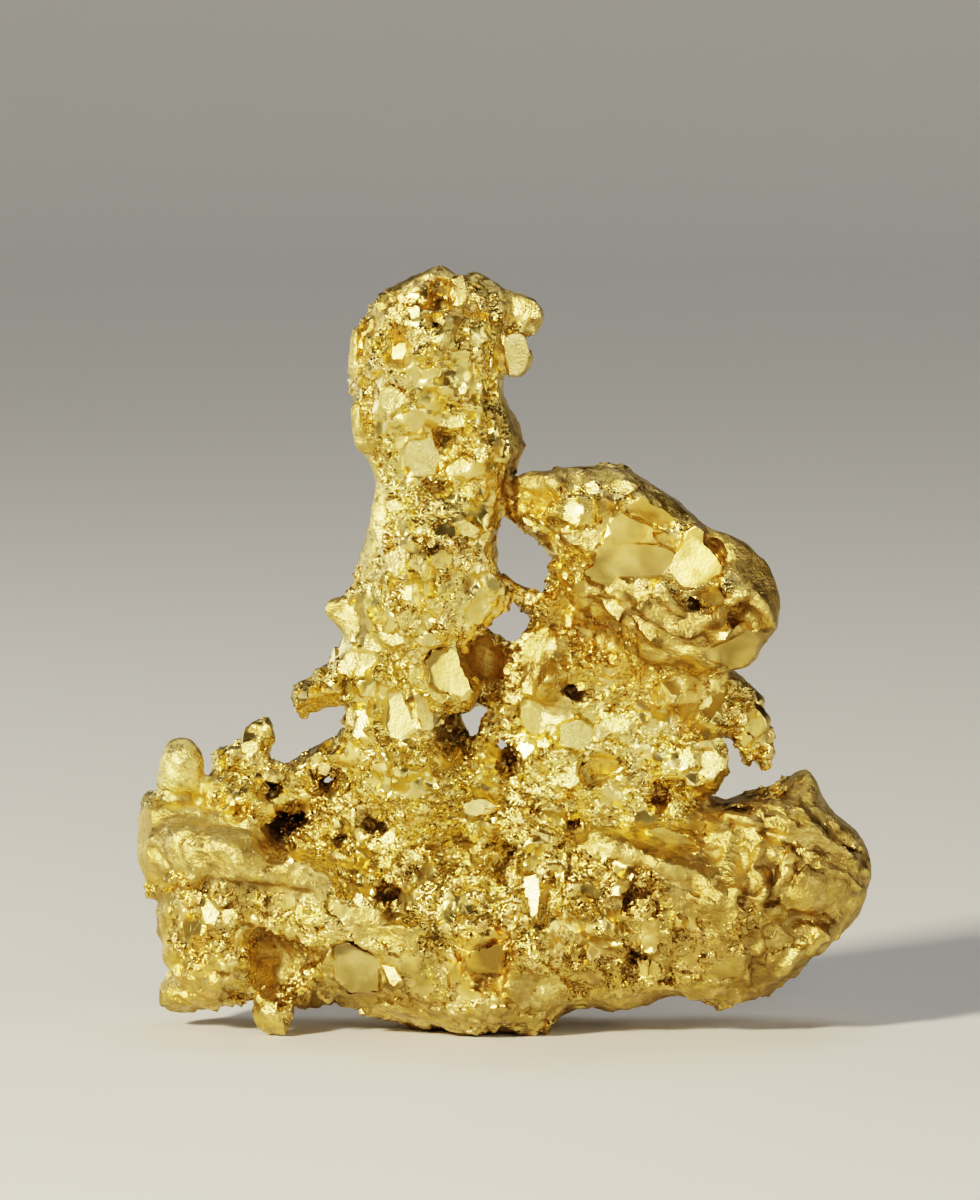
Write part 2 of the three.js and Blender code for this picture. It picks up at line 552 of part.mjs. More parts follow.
function goldSolid() {
  let gold = null;
  Object.values(forms).forEach((form, index) => {
    const solid = formSolid(form, 20 + 2 * index);
    gold = gold ? gold.add(solid) : solid;
  });
  for (const knots of lobes) gold = gold.add(lobeSolid(knots));

  const random = numberStream(4171);
  for (const patch of crystalPatches) {
    for (const [side, count] of [[-1, patch.front], [1, patch.back]]) {
      for (let i = 0; i < count; i += 1) {
        gold = gold.add(crystalSolid(placeOnFace(patch, side, random), random));
      }
    }
  }

  for (const cut of [...flatFaces, ...hollows]) gold = gold.subtract(cutterSolid(cut, -1));
  const wholeBack = { from: [-11, 1.5], to: [11, 25] };
  for (let i = 0; i < backHollowCount; i += 1) {
    const [x, , z] = placeOnFace(wholeBack, 1, random);
    const size = [0.5 + random(), 0.4 + 0.8 * random()];
    const turn = [20 * random() - 10, 20 * random() - 10, 90 * random()];
    gold = gold.subtract(cutterSolid({ at: [x, z], size, depth: 0.3 + 0.6 * random(), turn }, 1));
  }

  for (const loop of gapLoops) gold = gold.subtract(throughSolid(loop));
  const ground = new THREE.BoxGeometry(40, 40, 10);
  ground.translate(0, 0, -5);
  return gold.subtract(solidOf(ground));
}

// Draws together the ends of edges that are too short, or that belong to facets too narrow to
// matter, as long as the surface stays one closed skin and no facet turns over.
function drawTogether(places, facets) {
  const points = [];
  for (let i = 0; i < places.length; i += 3) points.push(new THREE.Vector3().fromArray(places, i));
  const corners = [];
  for (let i = 0; i < facets.length; i += 3) corners.push([...facets.slice(i, i + 3)]);
  const around = points.map(() => new Set());
  corners.forEach((facet, index) => facet.forEach((corner) => around[corner].add(index)));

  const neighbours = (corner) => {
    const found = new Set([...around[corner]].flatMap((index) => corners[index]));
    found.delete(corner);
    return found;
  };
  const normalOf = ([a, b, c]) => {
    const normal = new THREE.Vector3().subVectors(points[b], points[a]);
    return normal.cross(new THREE.Vector3().subVectors(points[c], points[a]));
  };
  const tryDraw = (kept, lost) => {
    const shared = [...neighbours(kept)].filter((corner) => neighbours(lost).has(corner));
    if (shared.length !== 2) return false;
    const onGround = [kept, lost].filter((corner) => points[corner].z < 1e-6);
    const target = points[kept].clone().lerp(points[lost], 0.5);
    if (onGround.length === 1) target.copy(points[onGround[0]]);
    const moved = [...new Set([...around[kept], ...around[lost]])]
      .filter((index) => !(corners[index].includes(kept) && corners[index].includes(lost)));
    const before = moved.map((index) => normalOf(corners[index]).normalize());
    const oldPlaces = [points[kept], points[lost]];
    points[kept] = target;
    points[lost] = target;
    const turnsOver = moved.some((index, i) => {
      const after = normalOf(corners[index]);
      return after.length() < 1e-4 || after.normalize().dot(before[i]) < 0.3;
    });
    if (turnsOver) {
      [points[kept], points[lost]] = oldPlaces;
      return false;
    }
    for (const index of [...around[lost]]) {
      if (corners[index].includes(kept)) {
        corners[index].forEach((corner) => around[corner].delete(index));
        corners[index] = null;
      } else {
        corners[index] = corners[index].map((corner) => (corner === lost ? kept : corner));
        around[kept].add(index);
      }
    }
    around[lost].clear();
    return true;
  };

  for (let drawn = 1; drawn > 0;) {
    drawn = 0;
    for (let index = 0; index < corners.length; index += 1) {
      if (!corners[index]) continue;
      const [a, b, c] = corners[index];
      const edges = [[a, b], [b, c], [c, a]].map(([from, to]) => ({
        from, to, length: points[from].distanceTo(points[to]),
      })).sort((one, other) => one.length - other.length);
      const width = normalOf(corners[index]).length() / edges[2].length;
      const isNarrow = width < thinnestFacet;
      if (edges[0].length > shortestEdge && !isNarrow) continue;
      const candidates = isNarrow ? edges : edges.slice(0, 1);
      if (candidates.some(({ from, to }) => tryDraw(from, to))) drawn += 1;
    }
  }
  return { points, corners: corners.filter((facet) => facet !== null) };
}

// The finished solid as a geometry, centred over its own footprint.
function goldGeometry() {
  const bodies = goldSolid().decompose();
  const gold = bodies.reduce((largest, body) => (body.volume() > largest.volume() ? body : largest));
  const mesh = gold.getMesh();
  const { points, corners } = drawTogether(mesh.vertProperties, mesh.triVerts);
  const geometry = new THREE.BufferGeometry().setFromPoints(corners.flat().map((i) => points[i]));
  geometry.computeBoundingBox();
  const centre = geometry.boundingBox.getCenter(new THREE.Vector3());
  geometry.translate(-centre.x, -centre.y, -geometry.boundingBox.min.z);
  const merged = mergeVertices(geometry, 1e-5);
  merged.computeVertexNormals();
  return merged;
}

const gold = new THREE.MeshStandardMaterial({ color: 0xd9ae52, roughness: 0.34, metalness: 1 });
const group = new THREE.Group();
const specimen = new THREE.Mesh(goldGeometry(), gold);
specimen.name = 'gold_crystal';
group.add(specimen);

export default group;
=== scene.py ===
import bpy
import bmesh
import math
import numpy as np
from mathutils import Matrix, Vector


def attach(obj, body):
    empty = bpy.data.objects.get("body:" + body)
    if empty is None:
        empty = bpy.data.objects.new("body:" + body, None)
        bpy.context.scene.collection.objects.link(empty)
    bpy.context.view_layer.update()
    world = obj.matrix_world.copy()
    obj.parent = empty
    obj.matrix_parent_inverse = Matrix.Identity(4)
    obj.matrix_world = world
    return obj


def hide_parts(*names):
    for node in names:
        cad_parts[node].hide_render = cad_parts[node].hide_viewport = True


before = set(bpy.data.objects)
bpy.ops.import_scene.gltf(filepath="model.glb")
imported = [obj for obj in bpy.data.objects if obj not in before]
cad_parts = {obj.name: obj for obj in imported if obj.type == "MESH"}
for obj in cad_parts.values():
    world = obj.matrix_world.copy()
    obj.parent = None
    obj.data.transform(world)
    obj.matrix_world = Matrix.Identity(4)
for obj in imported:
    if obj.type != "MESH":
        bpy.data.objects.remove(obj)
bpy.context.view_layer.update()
print("frame loaded")

mm = 0.001
scene = bpy.context.scene

# The front of the specimen is laid out on a fine grid, counted rightwards and downwards
# as it is seen from 5 degrees above the floor. Spots and half widths are in its steps.
# Heights, depths and sizes of the skin and the crystals are in millimetres.
frontGrid = {"perMm": 29.5, "middle": 504, "floor": 1030, "seenFrom": 5}


def places(rows):
    # each row is an outline or a path, as spots on that grid, and its numbers
    return [([tuple(map(int, spot.split(","))) for spot in path.split()], *numbers)
            for path, *numbers in rows]


skinLook = {
    "voxel": 0.085,  # grain of the remeshed skin
    "triangles": 197000,  # what the skin is thinned to
    "swell": 0.05,  # soft unevenness of every surface
    "swellSize": 1.3,
    "grains": [  # size and height of the rounded grains
        (0.70, 0.080),
        (0.40, 0.050),
    ],
    "relaxing": 12,  # rounds of smoothing after the first remesh
    "facets": [  # size, share laid flat, furthest move, random step
        (1.05, 0.60, 0.18, 0.05),
        (0.55, 0.65, 0.14, 0.045),
        (0.30, 0.80, 0.09, 0.04),
        (0.19, 0.50, 0.05, 0.03),
    ],
    "calmSize": 0.75,  # patches without grain
    "calmShare": 0.38,
    "softening": 0.35,  # how far the grain is smoothed over
    "flatWave": 0.035,  # how far a flat face bows, over that length
    "flatWaveSize": 0.9,
    "wrinkle": 0.022,  # fine wrinkles of the smooth rolls
    "wrinkleSize": 0.42,
    "pitSize": 0.40,
    "pitDepth": 0.30,
    "pitShare": 0.07,
    "hollowRounds": 60,  # smoothing that shows what lies in a hollow, where shade is painted
    "hollowDepth": 0.35,  # and how deep a hollow is where its painted shade is darkest
    "sharpAngle": 46,
    "seed": 11,
}

# Flat crystal faces: outline, lean to the right, lean upwards, rise out of the surface.
flatPlaces = places([
    # head of the tower
    ("452,282 462,275 470,290 467,302 456,312 449,298", -0.1, 0.3, 0.1),
    ("425,315 446,313 442,322 436,330 422,318", 0.3, -0.5, -0.05),
    ("462,310 480,314 484,322 466,322", 0.2, -0.6, 0.05),
    ("484,334 490,322 494,330 492,340", 0.5, -0.1, 0),
    ("498,325 504,330 506,346 496,346", -0.3, 0.3, 0.06),
    ("512,298 532,298 542,308 543,318 535,322 512,316", -0.1, 0.3, 0.1),
    ("502,338 516,334 528,337 530,352 528,368 518,378 508,377", 0.1, 0.1, 0.08),
    ("452,354 462,352 470,362 462,368 452,364", 0, -0.5, 0),
    ("456,390 463,383 470,388 466,396 459,398", -0.25, 0.4, 0.08),
    ("376,392 392,387 405,394 403,408 390,420 383,408", 0, 0.15, 0.1),
    ("391,350 400,343 408,350 404,362 393,363", -0.25, 0.25, 0),
    # middle of the tower
    ("408,444 432,438 441,458 436,476 414,478 404,460", 0.1, 0.1, 0.08),
    ("444,470 462,457 471,466 463,478 448,477", -0.1, 0.2, 0.08),
    ("440,420 462,418 466,428 452,432 440,428", 0, 0.3, 0.1),
    ("456,526 472,521 482,530 478,540 460,538", 0, 0, 0.07),
    ("430,556 440,550 449,554 448,568 438,572 431,566", 0.3, -0.4, -0.03),
    ("384,556 398,546 408,562 402,576 386,572", 0, 0.1, 0.08),
    ("405,586 413,584 413,601 405,602", -0.3, 0.3, 0.08),
    ("386,502 396,498 402,508 394,515 386,512", -0.1, 0.2, 0.08),
    # foot of the tower
    ("425,662 432,650 456,646 462,658 470,680 476,692 462,698 446,692 430,685", -0.16, 0.22, 0.35),
    ("336,664 348,652 372,654 378,662 366,672 356,668 350,679 340,674", -0.1, 0.3, 0.08),
    ("340,716 350,704 357,716 352,736", -0.6, 0.1, 0.12),
    ("350,704 366,712 370,722 358,742 353,734 358,716", -0.15, 0.4, 0.14),
    ("388,700 402,692 414,720 418,732 402,740 388,738 384,722", -0.18, 0.2, -0.04),
    ("414,692 428,700 436,728 424,733 415,702", 0.35, 0, -0.1),
    ("384,636 398,632 404,644 392,648", -0.1, 0.3, 0.04),
    # arm
    ("563,505 577,498 583,512 574,529 562,520", -0.35, 0.3, 0.06),
    ("577,498 592,500 599,511 592,524 574,529 583,512", 0.3, 0.1, 0.06),
    ("596,500 606,497 614,506 604,532 598,516", 0.4, -0.3, -0.02),
    ("615,511 636,521 661,532 656,546 599,546 606,530", -0.12, 0.17, 0.16),
    ("597,546 656,545 672,553 671,563 660,576 622,579 592,571", 0.04, -0.06, 0.1),
    ("620,508 640,502 662,510 674,520 671,528 655,526 632,515", 0.1, -0.35, -0.14),
    ("650,492 657,487 680,500 692,515 684,517 664,508", 0.1, 0.45, 0.14),
    ("652,534 668,534 672,545 658,546", 0.2, -0.3, -0.05),
    ("610,484 626,480 640,486 628,496 614,496", -0.1, 0.5, 0.08),
    ("583,484 598,482 602,494 588,497", -0.3, 0.4, 0.05),
    ("692,523 703,530 703,545 716,552 722,565 720,575 712,578 696,588 680,590 668,573"
     " 672,560 680,545 687,530", -0.17, 0.22, 0.2),
    ("714,634 726,622 731,628 723,642 715,641", -0.4, 0.3, 0.05),
    ("702,652 722,643 746,631 760,640 748,662 732,671 708,660", 0.25, -0.28, 0.05),
    ("690,591 714,584 722,598 714,606 698,601", 0.25, -0.45, -0.22),
    ("594,526 612,513 606,530 601,538", 0.2, -0.2, 0.04),
    ("560,534 600,534 602,546 568,546", -0.05, 0.15, 0.08),
    ("580,571 604,562 620,578 608,589 590,581", 0, -0.1, 0.07),
    ("520,516 530,519 537,526 541,534 532,532 524,525", -0.3, 0.45, 0.14),
    ("674,645 688,648 693,651 688,655 678,651", -0.2, 0.4, 0.06),
    # under the arm and the web
    ("600,601 614,598 623,612 618,623 606,611", -0.15, 0.3, 0.1),
    ("630,616 640,618 656,635 650,643 638,630", -0.1, 0.35, 0.1),
    ("564,612 574,610 573,628 562,628", -0.1, 0.3, 0.08),
    ("520,706 530,700 540,712 540,728 531,736 522,724", -0.05, -0.05, 0.1),
    ("560,724 580,718 593,728 590,745 575,755 560,742", 0.05, 0.1, 0.1),
    ("604,722 620,716 632,722 628,732 612,736", -0.1, 0.3, 0.1),
    ("534,742 545,734 551,744 546,751 536,747", -0.27, 0.42, 0.12),
    ("592,738 598,734 603,740 594,745", -0.27, 0.42, 0.1),
    ("580,762 595,757 616,760 626,768 610,777 590,777", 0, -0.45, -0.08),
    ("700,750 718,752 724,768 712,782 700,776", -0.1, 0.25, 0.04),
    ("676,748 690,746 696,762 684,768", -0.2, 0.3, 0.06),
    # foot
    ("334,945 350,940 380,956 380,990 350,992 336,978", -0.05, 0.12, 0.1),
    ("382,962 396,964 402,976 394,988 388,976", -0.27, 0.4, 0.1),
    ("522,870 536,872 541,888 538,912 528,920 524,894", -0.35, 0.2, 0.06),
    ("382,832 396,826 397,838 390,844 382,842", -0.27, 0.42, 0.1),
    ("330,848 344,846 346,858 336,864 330,860", 0, 0.2, 0.06),
    ("204,905 214,900 222,912 216,924 205,922", -0.3, 0.3, 0.08),
    ("224,908 234,900 236,914 226,926", -0.2, 0.3, 0.06),
    ("460,800 488,796 504,806 494,816 466,818", 0, 0.2, 0.06),
    ("566,770 576,760 580,782 570,790 562,784", -0.2, 0.3, 0.08),
    ("640,826 662,826 690,838 694,848 664,844", 0.1, -0.25, 0),
    ("720,803 748,804 752,812 724,812", -0.1, 0.45, 0.06),
    ("760,812 780,816 792,822 776,826 762,820", -0.15, 0.45, 0.08),
    ("782,805 798,803 802,812 788,812", -0.2, 0.42, 0.06),
    ("738,826 752,828 764,838 750,842", -0.2, 0.42, 0.08),
    ("790,846 806,848 822,856 806,860 794,854", -0.15, 0.42, 0.06),
    ("840,845 852,844 864,854 850,852", -0.1, 0.5, 0.04),
    ("242,744 252,740 256,752 246,758 240,752", -0.1, 0.1, 0.04),
    ("466,950 504,938 508,952 503,972 466,972", 0.2, -0.32, 0),
])

# Straight-walled hollows: outline and depth.
hollowPlaces = places([
    ("428,300 446,296 451,286 456,300 450,312 432,314", 0.45),
    ("416,284 428,278 444,280 446,292 430,298 418,294", 0.28),
    ("388,298 408,297 412,308 400,316 388,310", 0.22),
    ("392,328 404,322 406,346 394,352 387,344", 0.3),
    ("384,356 394,347 409,349 414,362 404,374 387,372", 0.25),
    ("423,344 430,341 439,350 434,353", 0.45), ("429,328 436,324 440,332 433,337", 0.35),
    ("421,391 429,390 431,399 424,402", 0.4), ("364,380 371,372 376,374 369,386", 0.35),
    ("424,428 440,430 457,437 454,443 438,439 424,433", 0.45),
    ("450,458 456,450 467,446 463,454 454,463", 0.45), ("396,470 401,467 406,473 401,479", 0.28),
    ("397,500 404,499 405,506 399,508", 0.28), ("424,482 431,480 433,488 426,490", 0.35),
    ("438,484 447,482 448,491 440,492", 0.35), ("433,520 443,518 446,528 436,531", 0.28),
    ("452,511 458,512 458,518 453,519", 0.3),
    ("409,557 424,551 440,546 441,550 426,557 411,562", 0.4),
    ("464,580 468,579 470,594 466,595", 0.35), ("376,617 387,616 388,623 378,621", 0.3),
    ("374,626 382,622 386,630 380,634", 0.3), ("426,624 434,622 436,631 429,633", 0.45),
    ("452,718 466,712 480,719 480,735 466,744 455,730", 0.6),
    ("334,748 344,743 353,745 347,751", 0.4), ("322,770 340,768 342,786 324,790", 0.8),
    ("366,754 374,754 374,776 360,778 358,770 366,768", 0.5),
    ("408,762 420,758 426,766 414,770", 0.22), ("682,601 690,604 703,615 700,620 688,612", 0.4),
    ("703,537 712,541 722,548 725,557 723,567 716,553 706,547", 0.5),
    ("737,600 744,602 753,616 754,630 746,632 738,626 729,632 722,622 730,608", 0.45),
    ("564,556 580,551 597,556 590,562 578,567 566,561", 0.28),
    ("556,600 600,596 606,614 622,628 640,640 640,654 620,664 604,660 590,645 574,634"
     " 560,626", 0.28),
    ("592,630 606,632 606,650 596,652", 0.25), ("544,594 553,589 560,595 552,603", 0.25),
    ("563,692 573,682 585,679 583,686 573,696 564,696", 0.28),
    ("565,655 571,653 572,659 567,661", 0.3), ("612,713 622,712 622,719 613,719", 0.3),
    ("638,663 649,662 650,669 640,670", 0.35), ("688,687 698,683 698,688 690,691", 0.35),
    ("592,778 606,775 608,781 594,783", 0.4), ("512,712 519,710 519,721 512,722", 0.35),
    ("455,766 464,764 474,768 472,780 462,776", 0.5), ("456,782 464,782 463,789 457,789", 0.3),
    ("270,817 300,816 305,822 286,826 297,840 284,834 272,826", 0.9),
    ("263,781 273,779 282,790 280,800 270,797", 0.7), ("289,793 295,792 295,799 290,799", 0.35),
    ("355,818 365,809 380,806 382,817 390,824 382,828 376,838 364,838", 0.6),
    ("336,830 346,826 352,832 344,840 335,838", 0.5),
    ("378,886 386,882 399,884 404,896 398,908 384,902 374,898", 0.7),
    ("410,868 422,864 426,872 416,880 408,878", 0.55),
    ("503,852 512,849 524,852 520,858 508,862 504,858", 0.6),
    ("500,864 508,862 508,870 501,872", 0.35), ("540,872 546,874 547,904 541,912 538,908", 0.4),
    ("466,950 504,938 508,952 504,966 500,976 466,972", 0.4),
    ("462,985 472,984 472,996 462,996", 0.3), ("428,944 436,942 436,954 430,956", 0.3),
    ("624,876 636,874 640,882 636,890 628,884", 0.45),
    ("626,950 640,942 654,946 652,960 640,968 630,962", 0.36),
    ("646,784 658,788 668,792 668,806 654,810 646,800", 0.22),
    ("572,816 580,815 580,826 574,834 570,830", 0.4), ("694,832 704,830 706,844 698,844", 0.4),
    ("706,852 720,848 718,858 708,860", 0.35), ("642,897 656,896 658,906 646,908", 0.3),
    ("608,912 616,908 616,920 610,922", 0.3), ("788,866 796,862 798,876 790,876", 0.3),
    ("714,876 722,876 720,888 716,888", 0.3), ("205,924 213,922 213,938 207,938", 0.3),
    ("222,934 238,936 240,950 224,952", 0.3), ("162,918 180,922 186,940 180,958 166,942", 0.22),
    ("176,944 196,948 198,968 180,968", 0.22), ("150,866 160,868 184,890 178,898 162,888", 0.2),
    ("302,996 308,994 310,1002 304,1004", 0.3), ("318,826 326,812 336,822 334,838 322,836", 0.25),
])

# Ridges and grooves: path, half width, rise (sunk where it is negative).
strokePlaces = places([
    ("460,278 463,300 452,322 443,342", 6, 0.16),
    ("400,292 374,318 364,345 363,378 374,398", 4.5, -0.24),
    ("368,404 366,436 382,468 387,520 378,556", 4.5, -0.22), ("385,300 357,330 354,374", 6, 0.14),
    ("354,408 360,452 374,480 376,530", 6, 0.14), ("512,319 530,318 537,325 529,334", 4, -0.26),
    ("505,330 500,345 503,372", 4, -0.28), ("380,505 379,540 388,562", 5, 0.1),
    ("486,540 498,520 506,525", 5, 0.1), ("508,484 510,500 512,520", 5, -0.32),
    ("506,484 545,474 590,474", 8, 0.12), ("562,584 600,590", 5, -0.16),
    ("716,622 722,606 735,595 748,594 758,606 764,622", 6, 0.42),
    ("660,588 668,602 682,614 698,622 714,620", 6, 0.42), ("640,606 662,626 692,634", 6, 0.32),
    ("650,624 672,641 702,645", 5, -0.26), ("622,604 640,624", 5, -0.24),
    ("652,584 650,596 642,605", 3, 0.16), ("676,592 684,604 702,614", 5, -0.32),
    ("704,596 712,604 706,612", 5, 0.12), ("640,650 672,656 704,656", 7, 0.12),
    ("640,668 690,672 720,672", 5, -0.14), ("762,572 774,600 766,632 744,664", 8, 0.08),
    ("606,590 624,606 640,622 656,640", 5, 0.14), ("500,566 522,578 541,598", 6, 0.1),
    ("520,650 506,672 492,690", 5, 0.12), ("658,716 664,704", 2, -0.16),
    ("612,737 636,730", 2, -0.16), ("645,756 648,770 652,786", 4, -0.22),
    ("350,742 372,738 386,732", 2, -0.16), ("372,640 384,652 400,658 420,660", 4, -0.14),
    ("484,642 494,668", 11, -0.15),
    # foot, left
    ("266,950 286,955 280,978", 15, -0.4), ("160,800 185,798 205,806 240,815", 5, -0.22),
    ("150,812 190,836 240,850 300,866 350,886", 14, 0.1),
    ("196,888 232,886 270,887 310,893", 5, -0.26), ("205,858 214,872", 9, -0.12),
    ("222,862 226,870", 5, -0.14), ("255,866 258,876", 4, -0.12), ("160,832 164,862", 7, -0.12),
    ("740,920 742,946", 8, 0.4), ("822,868 806,900", 12, 0.18), ("689,880 695,893", 2, -0.2),
    ("150,845 162,862 172,874", 4, -0.18), ("167,842 172,838", 4, -0.1),
    ("158,915 160,945 176,970 190,976", 4, 0.12), ("218,960 250,958 258,948", 5, 0.16),
    ("200,968 216,980 212,996", 8, 0.1), ("222,968 250,976", 4, -0.2),
    # foot, middle
    ("316,930 316,960 312,985", 5, 0.1), ("346,905 372,906 392,918 406,930", 6, 0.14),
    ("360,928 380,932 398,936", 4, -0.16), ("340,1000 400,1012 460,1018 540,1016", 8, 0.08),
    ("400,920 420,926 440,924", 6, 0.08), ("506,862 540,866 560,866", 4, 0.1),
    ("548,870 552,890 548,912", 4, -0.12), ("456,816 490,822 520,834", 5, -0.14),
    # foot, right
    ("584,836 620,842 656,856 690,872 716,886", 9, 0.16),
    ("600,860 640,866 672,882 700,892", 4, -0.14), ("660,828 684,840 700,846", 4, 0.08),
    ("612,872 598,882", 4, -0.1), ("640,940 656,946 660,966", 4, 0.14),
    ("716,806 750,810 800,820", 4.5, -0.22), ("722,822 760,832 800,842", 4.5, -0.22),
    ("738,856 750,880 744,902", 5, -0.26), ("770,866 772,885 766,904", 4.5, -0.4),
    ("762,880 760,900 766,914", 4, 0.14), ("790,878 780,892 774,900", 4, -0.34),
    ("786,900 792,914", 4, -0.28), ("758,904 762,916", 4, -0.26),
    ("816,858 844,868 864,884", 5, -0.24), ("806,800 830,826 858,850", 5, -0.26),
    ("800,815 822,838 850,862", 6, 0.16), ("812,928 840,924 856,906", 4, 0.1),
    ("770,928 800,920 836,918 852,902", 6, -0.3), ("774,962 800,946 824,930", 12, 0.26),
    ("764,950 756,985", 5, -0.22), ("790,968 796,950", 4, -0.2), ("808,956 812,940", 4, -0.2),
    ("742,912 760,924 800,922", 5, -0.08), ("705,960 712,968", 2, -0.16),
])

# Soft folds that run along a path: path, half width, rise, spacing.
foldPlaces = places([
    ("716,812 770,818 862,860", 24, 0.26, 0.36), ("765,862 812,862 866,882", 20, 0.2, 0.4),
    ("782,858 750,916", 30, 0.26, 0.34), ("765,965 826,922", 22, 0.18, 0.36),
    ("590,846 650,862 712,888", 20, 0.12, 0.34), ("640,900 730,930", 30, 0.16, 0.3),
    ("742,905 752,985", 20, 0.26, 0.36), ("752,990 812,935", 26, 0.3, 0.34),
    ("150,822 250,846 330,880", 28, 0.1, 0.42), ("158,900 172,985", 18, 0.12, 0.45),
    ("745,550 770,600 750,655", 16, 0.09, 0.4), ("640,655 735,660", 13, 0.07, 0.3),
    ("330,985 450,1012 545,1006", 13, 0.09, 0.4), ("345,905 400,935", 12, 0.07, 0.35),
])

# Where the gold is smooth and satin rather than crystalline: path, half width, amount.
smoothPlaces = places([
    ("150,820 165,850 200,862 250,869 318,882", 15, 1), ("175,815 215,828 255,842", 18, 0.9),
    ("162,765 182,750 190,780", 26, 1), ("146,820 150,870", 14, 1),
    ("163,900 158,940 178,972", 8, 0.8), ("170,1000 200,990 215,982", 20, 0.6),
    ("265,1005 275,1025", 14, 0.5), ("262,735 266,750", 9, 0.5),
    ("330,990 400,1008 450,1018 545,1012", 9, 0.55), ("345,965 372,970", 24, 0.8),
    ("360,915 395,930", 12, 0.8), ("505,985 550,990", 16, 0.55),
    ("590,838 640,850 690,870 720,886", 13, 0.8), ("655,835 695,848", 11, 0.8),
    ("680,890 722,905", 16, 0.8), ("755,940 760,965 745,992", 14, 0.8),
    ("372,330 385,308 400,290 425,279 452,272 482,278 506,292", 8, 0.75),
    ("508,380 510,400 524,440 512,462", 9, 0.8), ("486,478 496,520 488,560", 7, 0.6),
    ("722,812 770,822 805,812 808,785", 20, 0.85), ("790,915 832,912", 20, 0.85),
    ("820,800 852,842 866,872 856,905 835,925", 20, 0.95), ("735,862 780,872 825,880", 34, 0.85),
    ("775,960 815,935", 22, 0.7), ("775,828 815,836", 9, 0.8), ("770,918 800,915", 10, 0.7),
    ("770,830 812,836", 13, 0.6), ("508,486 550,478 592,474", 10, 1), ("640,500 690,518", 8, 0.9),
    ("618,540 650,556", 26, 1), ("690,560 706,566", 20, 1),
    ("716,530 748,562 766,600 760,632 742,660", 24, 1), ("650,650 700,655 730,650", 15, 1),
    ("566,540 602,545", 10, 0.7), ("352,335 350,372", 8, 1), ("350,405 358,452", 9, 1),
    ("368,470 380,500 374,540 364,560", 8, 0.9), ("516,305 534,314", 15, 1),
    ("514,350 516,366", 15, 1), ("460,280 462,302 446,345", 7, 0.9), ("399,360", 13, 1),
    ("328,603 345,625", 14, 1), ("376,645 410,640", 9, 0.5), ("448,672", 24, 1),
    ("401,718", 15, 1), ("355,661", 13, 0.8), ("422,714", 12, 0.8), ("486,660", 20, 0.7),
    ("546,650 545,710", 22, 0.65), ("530,718", 12, 0.9), ("575,736", 18, 0.9),
    ("692,684 688,722", 9, 0.8), ("590,612 630,648", 18, 0.3), ("500,562 540,596", 7, 0.6),
    ("520,500 542,505", 12, 0.5), ("484,958", 20, 0.8), ("590,474 645,484", 9, 0.8),
    ("655,493 690,515", 11, 0.9), ("570,608 600,622 622,652", 10, 0.4),
    ("660,590 668,604 684,617 700,624 714,622 722,606 736,596 750,595 762,608", 6, 0.9),
    ("484,645 494,668", 12, 0.9), ("705,750 715,778", 11, 0.85),
    ("760,880 800,872 845,880", 30, 0.5), ("275,960", 24, 0.5), ("602,768", 14, 0.8),
    ("360,824", 14, 0.6), ("728,762", 10, 0.4),
    ("552,1010 640,1001 700,991 760,990 815,958 850,918", 9, 0.85),
    ("612,598 650,622 700,640 740,634", 22, 0.8),
])

# Where the grains are painted paler, a painted sheen of light: path, half width, amount.
paintedSheenPlaces = places([
    ("400,780 520,765 640,785", 58, 1), ("350,850 440,870 570,860", 48, 0.75),
    ("440,390 430,560", 66, 0.75), ("430,600 410,720", 70, 0.8), ("160,770 260,790", 42, 0.85),
    ("640,700 720,770", 44, 0.5), ("775,965 815,942", 20, 0.9),
])
